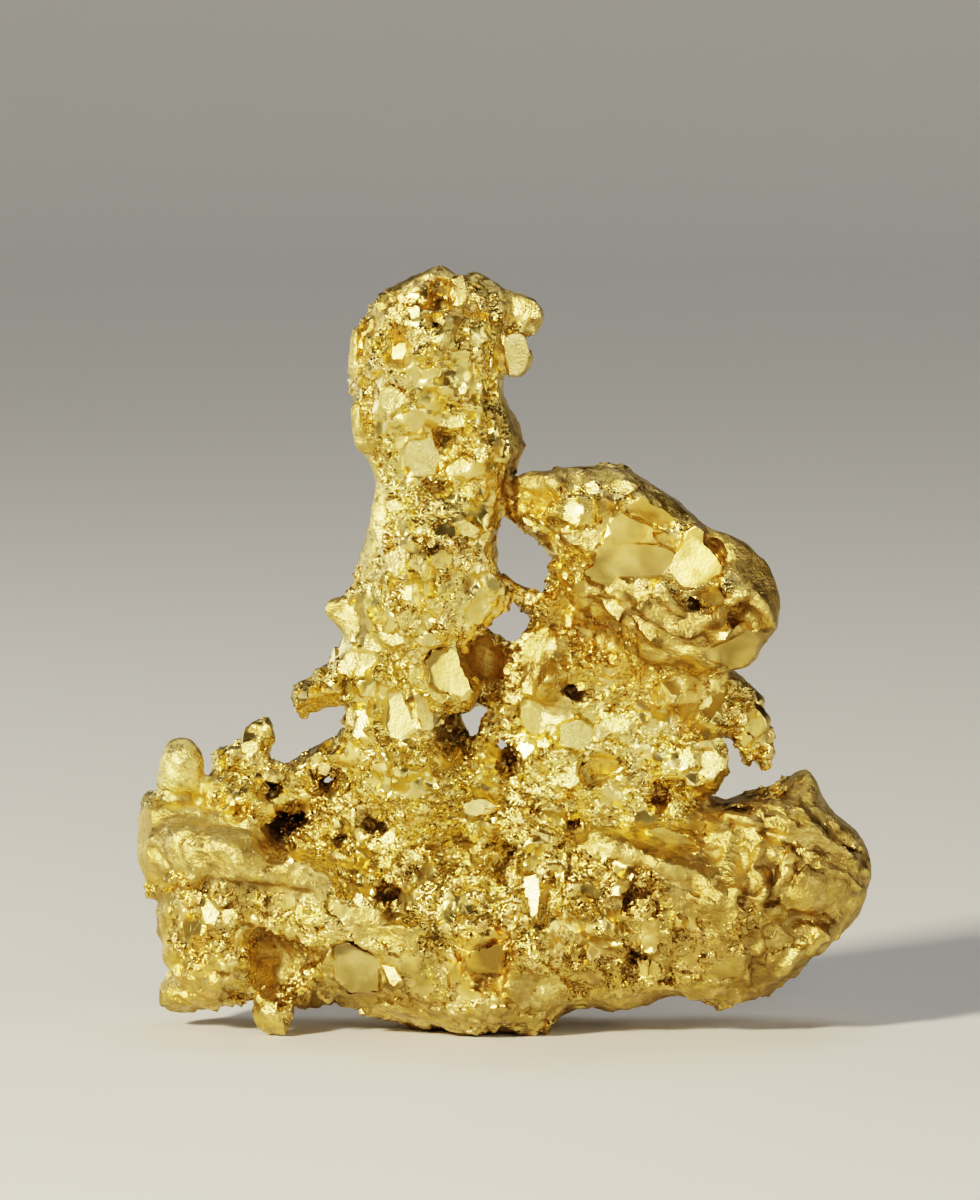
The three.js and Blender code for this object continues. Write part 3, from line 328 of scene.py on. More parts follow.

# Where painted inner reflections and painted shade colour it: path, half width, amber for the
# painted inner reflection, umber for the painted shade.
reflectionShadePlaces = places([
    ("745,850 850,880", 55, 0.3, 0.28), ("600,965 780,965", 38, 0.3, 0.42),
    ("590,880 690,900", 44, 0.28, 0.46), ("720,905 760,940", 30, 0.3, 0.3),
    ("610,612 665,640 715,640", 30, 0.42, 0.85),
    ("716,530 750,565 768,600 760,635", 20, 0.2, 0.5), ("620,870 690,900", 30, 0.25, 0.2),
    ("698,558", 30, 0.65, 0.05), ("632,530", 28, 0.6, 0.1), ("605,566 665,566", 15, 0.3, 0.6),
    ("448,672", 26, 0.4, 0), ("640,668 700,690", 24, 0.6, 0), ("172,925 196,965", 20, 0.7, 0),
    ("165,985 205,990", 16, 0.6, 0), ("785,950 822,932", 16, 0.45, 0),
    ("560,615 600,650", 22, 0.6, 0.45), ("250,800 330,800", 14, 0.35, 0),
    ("150,860 158,885", 10, 0.5, 0), ("445,470 500,455", 12, 0.3, 0),
    ("835,915 850,900", 12, 0.6, 0), ("795,790 812,800", 12, 0.3, 0.5),
    ("770,800 800,798", 8, 0.2, 0.7), ("700,975 725,992", 14, 0.3, 0.5),
    ("395,302 450,302", 9, 0.9, 0), ("397,336", 9, 0.9, 0), ("474,376", 8, 1, 0),
    ("488,332", 6, 0.7, 0), ("430,576", 6, 0.9, 0), ("508,486 512,520", 6, 1, 0.6),
    ("520,500 546,505", 13, 0.85, 0), ("582,524", 8, 0.5, 0), ("640,508 668,520", 8, 0.8, 0),
    ("710,542 722,560", 7, 1, 0.3), ("737,614", 9, 0.8, 0), ("580,557", 9, 0.8, 0),
    ("565,604 600,640 628,655", 17, 0.8, 0.25), ("552,596", 7, 0.9, 0.2),
    ("480,650 495,670", 15, 0.75, 0), ("467,664", 6, 0.5, 0), ("422,714", 9, 0.5, 0.2),
    ("401,716", 10, 0.3, 0), ("380,627", 6, 0.8, 0), ("690,648 692,684 690,724", 12, 1, 0.45),
    ("660,694 700,708", 16, 0.4, 0.3), ("399,352", 8, 0.6, 0), ("645,757 652,786", 6, 0.8, 0.2),
    ("602,768", 13, 0.7, 0), ("530,718", 10, 0.35, 0), ("737,928", 9, 1, 0.2),
    ("656,796", 11, 0.8, 0.5), ("576,824", 7, 0.8, 0.4), ("700,642 735,655", 13, 0.5, 0.1),
    ("665,848", 12, 0.5, 0.1), ("632,866", 11, 0.5, 0.2), ("484,958", 28, 2.4, 0.75),
    ("543,890", 6, 0.8, 0), ("270,950 285,985", 20, 0.5, 0.55), ("180,928 188,958", 11, 0.7, 0.1),
    ("170,885", 9, 0.7, 0.1), ("328,826", 9, 0.8, 0.1), ("212,800 248,815", 10, 0.6, 0.1),
    ("209,930", 6, 0.7, 0.2), ("505,400 522,452", 6, 0.3, 0.3), ("508,480 592,474", 8, 0, 0.7),
    ("715,532 748,558 772,600 766,630", 12, 0.1, 0.6), ("606,514", 8, 0.2, 0.5),
    ("692,606", 14, 0, 0.4), ("640,656 700,662", 10, 0.3, 0.3), ("285,826", 14, 0, 1),
    ("272,790", 9, 0.1, 1), ("467,728", 13, 0.5, 0.8), ("332,779", 10, 0, 1),
    ("370,822", 14, 0, 0.5), ("344,834", 8, 0.1, 0.8), ("390,894", 13, 0.4, 0.9),
    ("417,872", 8, 0.2, 0.8), ("512,856", 10, 0, 1), ("632,882", 8, 0.1, 0.7),
    ("643,956", 10, 0.2, 0.7), ("573,688", 9, 0.5, 0.5), ("500,770", 9, 0.3, 0.9),
    ("720,800 760,798", 5, 0.1, 0.6), ("790,935 760,925", 14, 0, 0.5),
    ("695,970 715,992", 14, 0.3, 0.5), ("771,868 767,902", 5, 0.2, 0.8),
    ("789,880 775,899", 4, 0.2, 0.7), ("750,860 746,900", 6, 0.2, 0.5),
    ("770,928 836,918", 6, 0.1, 0.55), ("676,594 688,610 702,618", 5, 0.3, 0.9),
    ("398,294 374,318 364,345 363,378", 4, 0.5, 0.35), ("368,404 366,436 382,468", 4, 0.4, 0.3),
    ("430,432 452,440", 5, 0, 0.9), ("412,559 438,549", 5, 0, 0.9),
    ("453,461 466,449", 4, 0, 0.8), ("425,396", 6, 0, 0.8), ("428,484 443,487", 5, 0, 0.7),
    ("438,525", 6, 0, 0.7), ("430,628", 6, 0, 0.9), ("467,580 468,594", 4, 0, 0.8),
    ("443,296 441,308", 5, 0.2, 0.8), ("398,334", 6, 0.3, 0.5),
    ("195,884 240,882 300,888 326,890", 7, 0, 0.55), ("198,852 212,876", 11, 0, 0.5),
    ("222,862 226,870", 6, 0.5, 0.5), ("255,866 260,878", 5, 0.5, 0.4),
    ("180,815 196,826", 7, 0.1, 0.35), ("340,1000 450,1014 540,1010", 9, 0.1, 0.4),
    ("258,872 300,880", 6, 0, 0.3), ("158,848 168,866", 9, 0.2, 0.45),
    ("180,880 190,895", 9, 0.7, 0), ("225,945 234,950", 9, 0, 0.35),
    ("355,925 385,930 398,945", 6, 0, 0.35), ("770,828 820,840", 9, 0.1, 0.4),
    ("690,905 760,910", 10, 0.1, 0.35), ("755,935 762,970 745,990", 15, 0, 0.4),
    ("770,920 800,915", 9, 0, 0.45), ("665,985 700,980", 9, 0.2, 0.5),
    ("625,868 650,885", 9, 0.3, 0.3), ("838,870 850,882", 8, 0, 0.3),
    ("805,860 850,858", 5, 0.1, 0.4), ("700,594 716,598", 10, 0, 0.7),
    ("740,566 765,580", 12, 0, 0.6), ("600,505 608,515", 6, 0.2, 0.6),
    ("712,655 744,648", 13, 0.35, 0.25), ("520,990", 16, 0.1, 0.4),
    ("540,835 500,828", 9, 0.4, 0.4), ("560,912 590,908", 9, 0.2, 0.3),
])


def mixedNumber(cells, salt):
    # one repeatable number from 0 to 1 for each row of three whole numbers
    wide = cells.astype(np.int64).astype(np.uint64)
    mask = np.uint64(0xFFFFFFFF)
    mixed = wide[:, 0] * np.uint64(374761393) + wide[:, 1] * np.uint64(668265263)
    mixed = (mixed + wide[:, 2] * np.uint64(2246822519) + np.uint64(salt * 3266489917)) & mask
    for shift, factor in ((15, 2654435761), (13, 1274126177)):
        mixed = ((mixed ^ (mixed >> np.uint64(shift))) * np.uint64(factor)) & mask
    return (mixed ^ (mixed >> np.uint64(16))) / 4294967296.0


def softNoise(points, size, salt):
    # smooth noise from -1 to 1 with lumps of that size
    scaled = points / size
    base = np.floor(scaled)
    blend = scaled - base
    blend = blend * blend * (3 - 2 * blend)
    total = np.zeros(len(points))
    for corner in np.ndindex(2, 2, 2):
        weight = np.prod(np.where(corner, blend, 1 - blend), axis=1)
        total += weight * mixedNumber(base + corner, salt)
    return total * 2 - 1


def nearestCell(points, size, salt):
    # the cell of an irregular honeycomb that each point falls in, and how far its middle is
    base = np.floor(points / size)
    best = np.full(len(points), 1e9)
    bestCell = base.copy()
    for step in np.ndindex(3, 3, 3):
        cell = base + np.array(step) - 1
        jitter = np.stack([mixedNumber(cell, salt + axis) for axis in range(3)], axis=1)
        distance = np.linalg.norm(points - (cell + 0.1 + 0.8 * jitter) * size, axis=1)
        nearer = distance < best
        best[nearer] = distance[nearer]
        bestCell[nearer] = cell[nearer]
    return bestCell, best


def cellNumbers(cells):
    # numbers the cells 0, 1, 2 ... and says which one each point is in
    key = (cells[:, 0] + 5000) * 100000000 + (cells[:, 1] + 5000) * 10000 + (cells[:, 2] + 5000)
    _, first, member = np.unique(key, return_index=True, return_inverse=True)
    return cells[first], member


def smoothStep(values, low, high):
    t = np.clip((values - low) / (high - low), 0, 1)
    return t * t * (3 - 2 * t)


def latticeAxes(points):
    # the axes of the crystal lattice, which stay the same through one grown domain
    cells, member = cellNumbers(nearestCell(points, 3.6, 301)[0])
    return turnMatrices(*(mixedNumber(cells, 401 + i) for i in range(3)))[member]


def cellMean(values, member, count):
    size = np.bincount(member, minlength=count)
    return np.stack([np.bincount(member, values[:, i], count) / size for i in range(3)], axis=1)


def facetStep(points, normals, rough, facet, salt):
    # lays a share of the patches on one flat plane of the crystal lattice each
    size, share, limit, jump = facet
    cells, member = cellNumbers(nearestCell(points, size, salt)[0])
    count = len(cells)
    middle = cellMean(points, member, count)
    facing = cellMean(normals, member, count)
    axes = latticeAxes(middle)
    lean = np.einsum("nij,nj->ni", axes, facing)
    pick = np.argmax(np.abs(lean), axis=1)
    row = np.arange(count)
    plane = axes[row, pick] * np.sign(lean[row, pick])[:, None]
    square = np.abs(lean[row, pick]) / np.maximum(np.linalg.norm(facing, axis=1), 1e-6)
    flat = (square > 0.68) * (mixedNumber(cells, salt + 7) < share)
    rise = np.einsum("ni,ni->n", middle[member] - points, plane[member])
    rise /= np.maximum(np.einsum("ni,ni->n", normals, plane[member]), 0.5)
    rise = limit * np.tanh(rise / limit) * flat[member]
    rise += jump * (mixedNumber(cells, salt + 9)[member] * 2 - 1)
    return rise * rough


def grainStep(points, grain, salt):
    # rounded grains, each of its own height
    size, height = grain
    cells, distance = nearestCell(points, size, salt)
    dome = np.sqrt(np.clip(1 - (distance / (0.72 * size)) ** 2, 0, 1))
    return height * dome * (0.25 + 1.5 * mixedNumber(cells, salt + 5) ** 2) - 0.5 * height


def pitStep(points, rough, look):
    # small box-shaped pits, where a crystal has dropped out or never filled in
    axes = latticeAxes(points)
    local = np.einsum("nij,nj->ni", axes, points) / look["pitSize"]
    block = np.floor(local)
    inside = 0.5 - np.max(np.abs(local - block - 0.5), axis=1)
    chosen = mixedNumber(block, 71) < look["pitShare"]
    depth = look["pitDepth"] * (0.4 + 0.6 * mixedNumber(block, 72))
    return -depth * chosen * np.clip(inside / 0.16, 0, 1) * np.clip(rough * 1.6 - 0.5, 0, 1)


def wrinkleStep(points, look):
    fine = np.abs(softNoise(points, look["wrinkleSize"], 81))
    fine = fine + 0.5 * np.abs(softNoise(points, 0.2, 82))
    return look["wrinkle"] * (1 - 2 * fine)


def gridPlace(points):
    # where the points are seen on the front grid
    tilt = math.radians(frontGrid["seenFrom"])
    across = points[:, 0] * frontGrid["perMm"] + frontGrid["middle"]
    height = points[:, 2] * math.cos(tilt) + points[:, 1] * math.sin(tilt)
    return np.stack([across, frontGrid["floor"] - height * frontGrid["perMm"]], axis=1)


def frontOf(points, normals, low, high):
    # the same, and how far each point faces the front
    return gridPlace(points), smoothStep(-normals[:, 1], low, high)


def edgeDistance(place, start, end):
    along = end - start
    t = np.clip((place - start) @ along / (along @ along), 0, 1)
    return np.linalg.norm(place - start - t[:, None] * along, axis=1)


def insideOutline(place, outline):
    # signed distance on the grid, above 0 inside the outline
    corners = np.array(outline, dtype=float)
    edges = list(zip(corners, np.roll(corners, -1, axis=0)))
    inside = np.zeros(len(place), dtype=bool)
    for start, end in edges:
        crosses = (start[1] > place[:, 1]) != (end[1] > place[:, 1])
        across, height = end[0] - start[0], end[1] - start[1] or 1e-9
        inside ^= crosses & (place[:, 0] < start[0] + (place[:, 1] - start[1]) * across / height)
    nearest = np.min([edgeDistance(place, *edge) for edge in edges], axis=0)
    return np.where(inside, nearest, -nearest)


def pathDistance(place, path):
    spots = np.array(path, dtype=float)
    if len(spots) == 1:
        return np.linalg.norm(place - spots[0], axis=1)
    return np.min([edgeDistance(place, *edge) for edge in zip(spots, spots[1:])], axis=0)


def nearPlace(place, facing, spots, margin):
    # the front points within reach of those spots
    spots = np.array(spots, dtype=float)
    low, high = spots.min(0) - margin, spots.max(0) + margin
    return np.flatnonzero((facing > 0) & np.all((place > low) & (place < high), axis=1))


def foldsAt(points, place, facing):
    # for each fold: its rise, the points near it, their height on its soft rolls with
    # creases between them, and how that fades beside the path
    for path, reach, rise, spacing in foldPlaces:
        near = nearPlace(place, facing, path, 1.3 * reach)
        along = np.array(path[-1], dtype=float) - path[0]
        along /= np.linalg.norm(along)
        spots = place[near] / frontGrid["perMm"]
        bent = spots @ (-along[1], along[0]) + 0.35 * softNoise(points[near], 1.3, 65)
        rolls = np.stack([spots @ along / 3.5, bent, points[near, 1] * 0.5], axis=1)
        fade = 1 - smoothStep(pathDistance(place[near], path), 0.6 * reach, 1.2 * reach)
        yield rise, near, 2 * np.abs(softNoise(rolls, spacing, 66)) - 0.5, fade


def creaseShadeMap(points, place, facing):
    # how far the creases of the folds are darkened with painted shade, brown and amber
    amount = np.zeros(len(points))
    for rise, near, folds, fade in foldsAt(points, place, facing):
        creaseShade = 1 - smoothStep(folds, -0.35, 0.25)
        amount[near] = np.maximum(amount[near], min(rise / 0.2, 1) * creaseShade * fade * facing[near])
    return amount


def carveFront(points, normals):
    # the listed faces, hollows, ridges and grooves of the front
    place, facing = frontOf(points, normals, 0.05, 0.35)
    ragged = raggedEdge(points)
    moved = points.copy()
    for path, reach, rise in strokePlaces:
        near = nearPlace(place, facing, path, 3 * reach)
        fall = np.exp(-(pathDistance(place[near], path) / reach) ** 2)
        moved[near] += normals[near] * (rise * fall * facing[near])[:, None]
    for rise, near, folds, fall in foldsAt(points, place, facing):
        moved[near] += normals[near] * (rise * folds * fall * facing[near] ** 3)[:, None]
    planes = []
    for outline, acrossLean, upLean, rise in flatPlaces:
        near = nearPlace(place, facing, outline, 3)
        core = near[insideOutline(place[near], outline) > 0]
        if len(core) < 4:
            continue
        middle = moved[core].mean(axis=0)
        middle[1] -= rise
        planes.append((outline, middle, acrossLean, upLean))
        moved = layFlat(moved, near, place, planes[-1], facing)
    for outline, depth in hollowPlaces:
        near = nearPlace(place, facing, outline, 4)
        within = insideOutline(place[near], outline) + 1.5 * ragged[near]
        slope = np.clip(0.45 * within.max(initial=0), 2.6, 5) if depth > 0.45 else 2.6
        moved[near, 1] += depth * smoothStep(within, -1.2, slope) * facing[near]
    return moved, planes


def raggedEdge(points):
    return 2.2 * softNoise(points, 0.40, 61) + 1.6 * softNoise(points, 0.17, 62)


def layFlat(points, near, place, plane, facing):
    outline, middle, acrossLean, upLean = plane
    if len(near) == 0:
        return points
    spots = points[near]
    within = insideOutline(place[near], outline) + 0.35 * raggedEdge(spots)
    offset = spots - middle
    level = middle[1] + acrossLean * offset[:, 0] + upLean * offset[:, 2]
    level += skinLook["flatWave"] * softNoise(spots * (1, 0, 1), skinLook["flatWaveSize"], 63)
    points[near, 1] += (level - spots[:, 1]) * smoothStep(within, -1.2, 1.2) * facing[near]
    return points


def flattenAgain(points, normals, planes):
    # takes the grain off the flat faces, apart from where a hollow has been cut into them
    place, facing = frontOf(points, normals, 0.05, 0.35)
    for plane in planes:
        near = nearPlace(place, facing, plane[0], 3)
        off = np.abs(points[near, 1] - plane[1][1])
        points = layFlat(points, near[off < 0.6], place, plane, facing)
    return points


def frontMap(place, facing, spots, part):
    # how strongly each front point is marked by the paths, which fade at their sides
    amount = np.zeros(len(place))
    for spot in spots:
        path, reach = spot[:2]
        near = nearPlace(place, facing, path, 2.2 * reach)
        fall = 1 - smoothStep(pathDistance(place[near], path), 0.75 * reach, 1.35 * reach)
        amount[near] = np.maximum(amount[near], spot[part] * fall * facing[near])
    return amount


def flatAt(points, normals):
    # how surely each point lies on one of the listed flat faces
    place, facing = frontOf(points, normals, -0.25, 0.15)
    amount = np.zeros(len(points))
    for outline, _, _, _ in flatPlaces:
        near = nearPlace(place, facing, outline, 3)
        reach = np.ptp(np.array(outline, dtype=float), axis=0).mean() / frontGrid["perMm"]
        plain = np.interp(reach, (0.5, 1.6), (0.6, 0.97))
        plain = plain * smoothStep(insideOutline(place[near], outline), -1.5, 0.5) * facing[near]
        amount[near] = np.maximum(amount[near], plain)
    return amount


def roughnessAt(points, normals):
    # 1 where the gold is crystalline, near 0 on the smooth rolls and flat faces
    place, facing = frontOf(points, normals, -0.25, 0.15)
    smooth = frontMap(place, smoothStep(-normals[:, 1], -0.8, -0.35), smoothPlaces, 2)
    smooth *= 1 - 0.3 * smoothStep(softNoise(points, 0.8, 91), 0.3, 0.6)
    smooth = np.maximum(smooth, flatAt(points, normals))
    behind = smoothStep(softNoise(points, 3.4, 92) + 0.3 * softNoise(points, 1.3, 93), -0.15, 0.25)
    smooth = np.maximum(smooth, 0.92 * behind * (1 - facing))
    return 1 - 0.95 * smooth


def calmAt(points):
    # near 0 on the patches among the grains that have grown as one plain face
    cells, distance = nearestCell(points, skinLook["calmSize"], 96)
    chosen = mixedNumber(cells, 97) < skinLook["calmShare"]
    return 1 - 0.85 * chosen


def meshRows(items, field, width=3, kind=float):
    flat = np.empty(len(items) * width, dtype=kind)
    items.foreach_get(field, flat)
    return flat.reshape(-1, width)


def meshPoints(mesh):
    return meshRows(mesh.vertices, "co")


def meshNormals(mesh):
    return meshRows(mesh.vertex_normals, "vector")


def setPoints(mesh, points):
    points[:, 2] = np.maximum(points[:, 2], 0)
    mesh.vertices.foreach_set("co", points.ravel())
    mesh.update()


def pushOut(mesh, points, rise):
    # moves the points along their normals by those heights
    points = points + meshNormals(mesh) * rise[:, None]
    setPoints(mesh, points)
    return points


def relaxed(mesh, points, rounds):
    # the points drawn that many times towards their neighbours
    count = len(points)
    edges = meshRows(mesh.edges, "vertices", 2, np.int64)
    ends, others = edges.T.ravel(), edges[:, ::-1].T.ravel()
    size = np.maximum(np.bincount(ends, minlength=count), 1)[:, None]
    for _ in range(rounds):
        drawn = np.stack([np.bincount(ends, points[others, i], count) for i in range(3)], axis=1)
        points = 0.5 * points + 0.5 * drawn / size
    return points


def workObject(name, data):
    obj = bpy.data.objects.new(name, data)
    scene.collection.objects.link(obj)
    return obj


def reshape(obj, kind, **settings):
    # works one modifier into the mesh
    modifier = obj.modifiers.new(kind.lower(), kind)
    for key, value in settings.items():
        setattr(modifier, key, value)
    evaluated = obj.evaluated_get(bpy.context.evaluated_depsgraph_get())
    mesh = bpy.data.meshes.new_from_object(evaluated)
    obj.modifiers.clear()
    obj.data = mesh
    return mesh


def setAttribute(mesh, name, values):
    attribute = mesh.attributes.new(name, "FLOAT", "POINT")
    attribute.data.foreach_set("value", values.astype(np.float32))


def carveSkin(skin, node, look):
    # the plain form of the CAD with its faces, hollows, ridges and folds
    shape = bmesh.new()
    shape.from_mesh(node.data)
    bmesh.ops.remove_doubles(shape, verts=shape.verts, dist=1e-7)
    bmesh.ops.scale(shape, vec=(1 / mm,) * 3, verts=shape.verts)
    shape.to_mesh(skin.data)
    shape.free()
    reshape(skin, "SUBSURF", levels=2, render_levels=2)
    mesh = reshape(skin, "REMESH", mode="VOXEL", voxel_size=look["voxel"])
    points = relaxed(mesh, meshPoints(mesh), look["relaxing"])
    setPoints(mesh, points)
    soft = look["swell"] * softNoise(points, look["swellSize"], look["seed"])
    soft += 0.4 * look["swell"] * softNoise(points, look["swellSize"] / 2.7, look["seed"] + 1)
    points = pushOut(mesh, points, soft)
    points, planes = carveFront(points, meshNormals(mesh))
    setPoints(mesh, points)
    print("skin carved")
    return planes


def grainSkin(skin, planes, look):
    # grains, facets and pits where it is crystalline, wrinkles where it is smooth
    mesh = reshape(skin, "REMESH", mode="VOXEL", voxel_size=look["voxel"])
    points = relaxed(mesh, meshPoints(mesh), 1)
    setPoints(mesh, points)
    rough = roughnessAt(points, meshNormals(mesh))
    grainy = rough * calmAt(points)
    rise = pitStep(points, grainy, look)
    for index, grain in enumerate(look["grains"]):
        rise += grainStep(points, grain, look["seed"] + 200 + 20 * index) * (rough, grainy)[index]
    points = pushOut(mesh, points, rise)
    for index, facet in enumerate(look["facets"]):
        share = grainy if facet[0] < 0.4 else rough
        rise = facetStep(points, meshNormals(mesh), share, facet, look["seed"] + 40 * (index + 1))
        points = pushOut(mesh, points, rise)
    points += look["softening"] * (relaxed(mesh, points, 1) - points)
    points += meshNormals(mesh) * (wrinkleStep(points, look) * (1 - rough))[:, None]
    points = flattenAgain(points, meshNormals(mesh), planes)
    setPoints(mesh, points)
    print("skin grained,", len(mesh.vertices), "points")


def paintSkin(mesh, look):
    # what the material reads at each point
    points = meshPoints(mesh)
    normals = meshNormals(mesh)
    # how deep each point lies in a hollow; the material darkens it with painted shade
    hollow = np.einsum("ni,ni->n", relaxed(mesh, points, look["hollowRounds"]) - points, normals)
    setAttribute(mesh, "hollow", np.clip(hollow / look["hollowDepth"], -1, 1))
    rough = roughnessAt(points, normals)
    setAttribute(mesh, "rough", rough * calmAt(points))
    setAttribute(mesh, "shine", np.maximum(rough, flatAt(points, normals)))
    place, facing = frontOf(points, normals, -0.4, 0.1)
    broken = softNoise(points, 0.35, 94) + 0.5 * softNoise(points, 0.16, 95)
    broken = smoothStep(broken, -0.45, 0.25)
    # the fold creases, darkened below with painted shade
    creaseShade = creaseShadeMap(points, place, facing)
    # amber is a painted inner reflection and umber painted shade, both also in the fold creases
    paintedReflection = frontMap(place, facing, reflectionShadePlaces, 2) * (0.4 + 0.6 * broken)
    paintedShade = frontMap(place, facing, reflectionShadePlaces, 3) * broken
    setAttribute(mesh, "reflectedAmber", np.clip(np.maximum(paintedReflection, 0.9 * creaseShade), 0, 1))
    setAttribute(mesh, "shadeUmber", np.maximum(paintedShade, 0.85 * creaseShade))
    # where the grains are painted paler with a painted sheen of light
    setAttribute(mesh, "paintedSheen", frontMap(place, facing, paintedSheenPlaces, 2))


def makeSkin(node, look):
    skin = workObject("goldSkin", bpy.data.meshes.new("goldSkin"))
    planes = carveSkin(skin, node, look)
    grainSkin(skin, planes, look)
    share = look["triangles"] / (2 * len(skin.data.polygons))
    mesh = reshape(skin, "DECIMATE", ratio=share)
    mesh.name = "goldSkin"
    mesh.calc_loop_triangles()
    print("skin thinned,", len(mesh.loop_triangles), "triangles")
    paintSkin(mesh, look)
    mesh.shade_smooth()
    mesh.set_sharp_from_angle(angle=math.radians(look["sharpAngle"]))
    reshape(skin, "WEIGHTED_NORMAL", keep_sharp=True, weight=90)
    return skin


# Loose crystals, half sunk in the skin, standing on the lattice of their domain.
crystalLook = {
    "seed": 5,
    "sunk": (-0.45, 0.0),  # how far the middle stands out, in crystal sizes
    "stray": 0.6,  # share that is turned at random
    "groups": [  # name, shape, count, least and greatest size, least roughness
        ("sugarCubes", "cube", 5500, 0.05, 0.10, 0.50),
        ("sugarOctahedra", "octahedron", 7000, 0.05, 0.11, 0.50),
        ("bigCubes", "cube", 250, 0.12, 0.24, 0.70),
        ("bigOctahedra", "octahedron", 250, 0.12, 0.24, 0.70),
    ],
}


def crystalShape(kind):
    shape = bmesh.new()
    if kind == "cube":
        bmesh.ops.create_cube(shape, size=1)
    else:
        bmesh.ops.create_uvsphere(shape, u_segments=4, v_segments=2, radius=0.72)
    corners = np.array([vert.co for vert in shape.verts])
    faces = [[vert.index for vert in face.verts] for face in shape.faces]
    shape.free()
    return corners, faces


def turnMatrices(a, b, c):
    # an evenly spread random turn for each row
    x = np.sqrt(1 - a) * np.sin(2 * math.pi * b)
    y = np.sqrt(1 - a) * np.cos(2 * math.pi * b)
    z = np.sqrt(a) * np.sin(2 * math.pi * c)
    w = np.sqrt(a) * np.cos(2 * math.pi * c)
    return np.stack([
        1 - 2 * (y * y + z * z), 2 * (x * y - z * w), 2 * (x * z + y * w),
        2 * (x * y + z * w), 1 - 2 * (x * x + z * z), 2 * (y * z - x * w),
        2 * (x * z - y * w), 2 * (y * z + x * w), 1 - 2 * (x * x + y * y),
    ], axis=1).reshape(-1, 3, 3)


def makeCrystals(skinMesh, look):
    faces = skinMesh.polygons
    middles, facings = meshRows(faces, "center"), meshRows(faces, "normal")
    areas = meshRows(faces, "area", 1)[:, 0]
    rough = roughnessAt(middles, facings) * calmAt(middles)
    made = []
    for order, group in enumerate(look["groups"]):
        name, kind, number, least, greatest, leastRough = group
        draw = np.random.default_rng(look["seed"] + order)
        weight = areas * np.clip((rough - leastRough) / 0.4, 0, 1) * (middles[:, 2] > 0.35)
        weight *= 0.35 + smoothStep(softNoise(middles, 1.1, 510 + order), -0.3, 0.3)
        weight *= 0.3 + 0.7 * np.abs(facings[:, 1])
        chosen = draw.choice(len(faces), size=number, p=weight / weight.sum())
        size = least + (greatest - least) * draw.random(number) ** 2.2
        stretch = size[:, None] * draw.uniform(0.8, 1.3, (number, 3))
        turned = np.where((draw.random(number) < look["stray"])[:, None, None],
                          turnMatrices(*draw.random((3, number))), latticeAxes(middles[chosen]))
        stand = size * draw.uniform(*look["sunk"], number)
        corners, sides = crystalShape(kind)
        spots = np.einsum("nki,nij->nkj", corners[None] * stretch[:, None, :], turned)
        spots += (middles[chosen] + facings[chosen] * stand[:, None])[:, None, :]
        spots[..., 2] = np.maximum(spots[..., 2], 0.02)
        steps = np.arange(number)[:, None] * len(corners)
        allSides = [row for side in sides for row in (steps + np.array(side)).tolist()]
        crystalMesh = bpy.data.meshes.new(name)
        crystalMesh.from_pydata(spots.reshape(-1, 3), [], allSides)
        crystalMesh.update()
        made.append(workObject(name, crystalMesh))
        print(name, "placed,", number)
    return made


def finishPiece(obj, material):
    obj.data.transform(Matrix.Scale(mm, 4))
    obj.data.materials.clear()
    obj.data.materials.append(material)
    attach(obj, "root")


goldLook = {
    "bright": (0.86, 0.63, 0.22, 1),
    "deep": (0.46, 0.33, 0.105, 1),
    # painted inner reflection, and painted shade
    "reflectedAmber": (0.78, 0.50, 0.12, 1),
    "shadeUmber": (0.20, 0.135, 0.05, 1),
    "sheenPale": (0.94, 0.76, 0.28, 1),  # painted sheen: paler gold where the grains stand in for brighter light
    "sheenTint": 0.72,
    "lemon": (0.94, 0.70, 0.14, 1),  # patches of clear yellow among the grains
    "lemonTint": 0.5,
    "tan": (0.86, 0.61, 0.30, 1),  # and of dull pinkish gold
    "tanTint": 0.35,
    "streak": (0.33, 0.225, 0.085, 1),  # on the smooth rolls
    "streakTint": 0.75,
    "streakSize": 0.17 * mm,
    "streakShape": (4.0, 1.6, 1.0),  # how far it is drawn out
    "streakTurn": 18,
    "streakBump": (0.7, 0.05 * mm),  # strength and depth, as for the bumps below
    "shadeOlive": (0.27, 0.215, 0.085, 1),  # painted shade in the hollows and painted dark reflections in fine specks
    # how strongly the hollows get painted shade, and how far they stop being metal there
    "hollowShadeTint": 0.66,
    "hollowShadeMetal": 0.5,
    "sheenHollowShade": 0.42,  # what is left of the painted hollow shade under the painted sheen
    "speckTint": 0.9,
    "speckShare": (0.45, 0.72),  # on the smooth and on the crystalline skin
    "satin": (0.36, 0.48),  # roughness of the smooth rolls
    "plain": 0.31,  # of the hand-placed flat faces
    "faces": (0.08, 0.31),  # and of the crystal faces
    "grain": 0.075 * mm,
    "grainBump": (0.8, 0.045 * mm),
    "wave": 0.32 * mm,
    "waveBump": (0.9, 0.10 * mm),
    "lump": 0.13 * mm,
    "lumpBump": (0.65, 0.055 * mm),
    "speck": 0.20 * mm,
    "cloud": 1.1 * mm,
    "patch": 0.55 * mm,
    "cloudRange": (0.36, 0.64),  # the part of each noise that tints
    "lemonRange": (0.53, 0.64),
    "tanRange": (0.36, 0.47),
    "speckRange": (0.50, 0.60),
    "streakRange": (0.50, 0.66),
    "smoothRange": (0.3, 0.8),  # from a smooth roll to crystals
    "plainRange": (0.5, 0.9),  # from crystals to a flat face
}


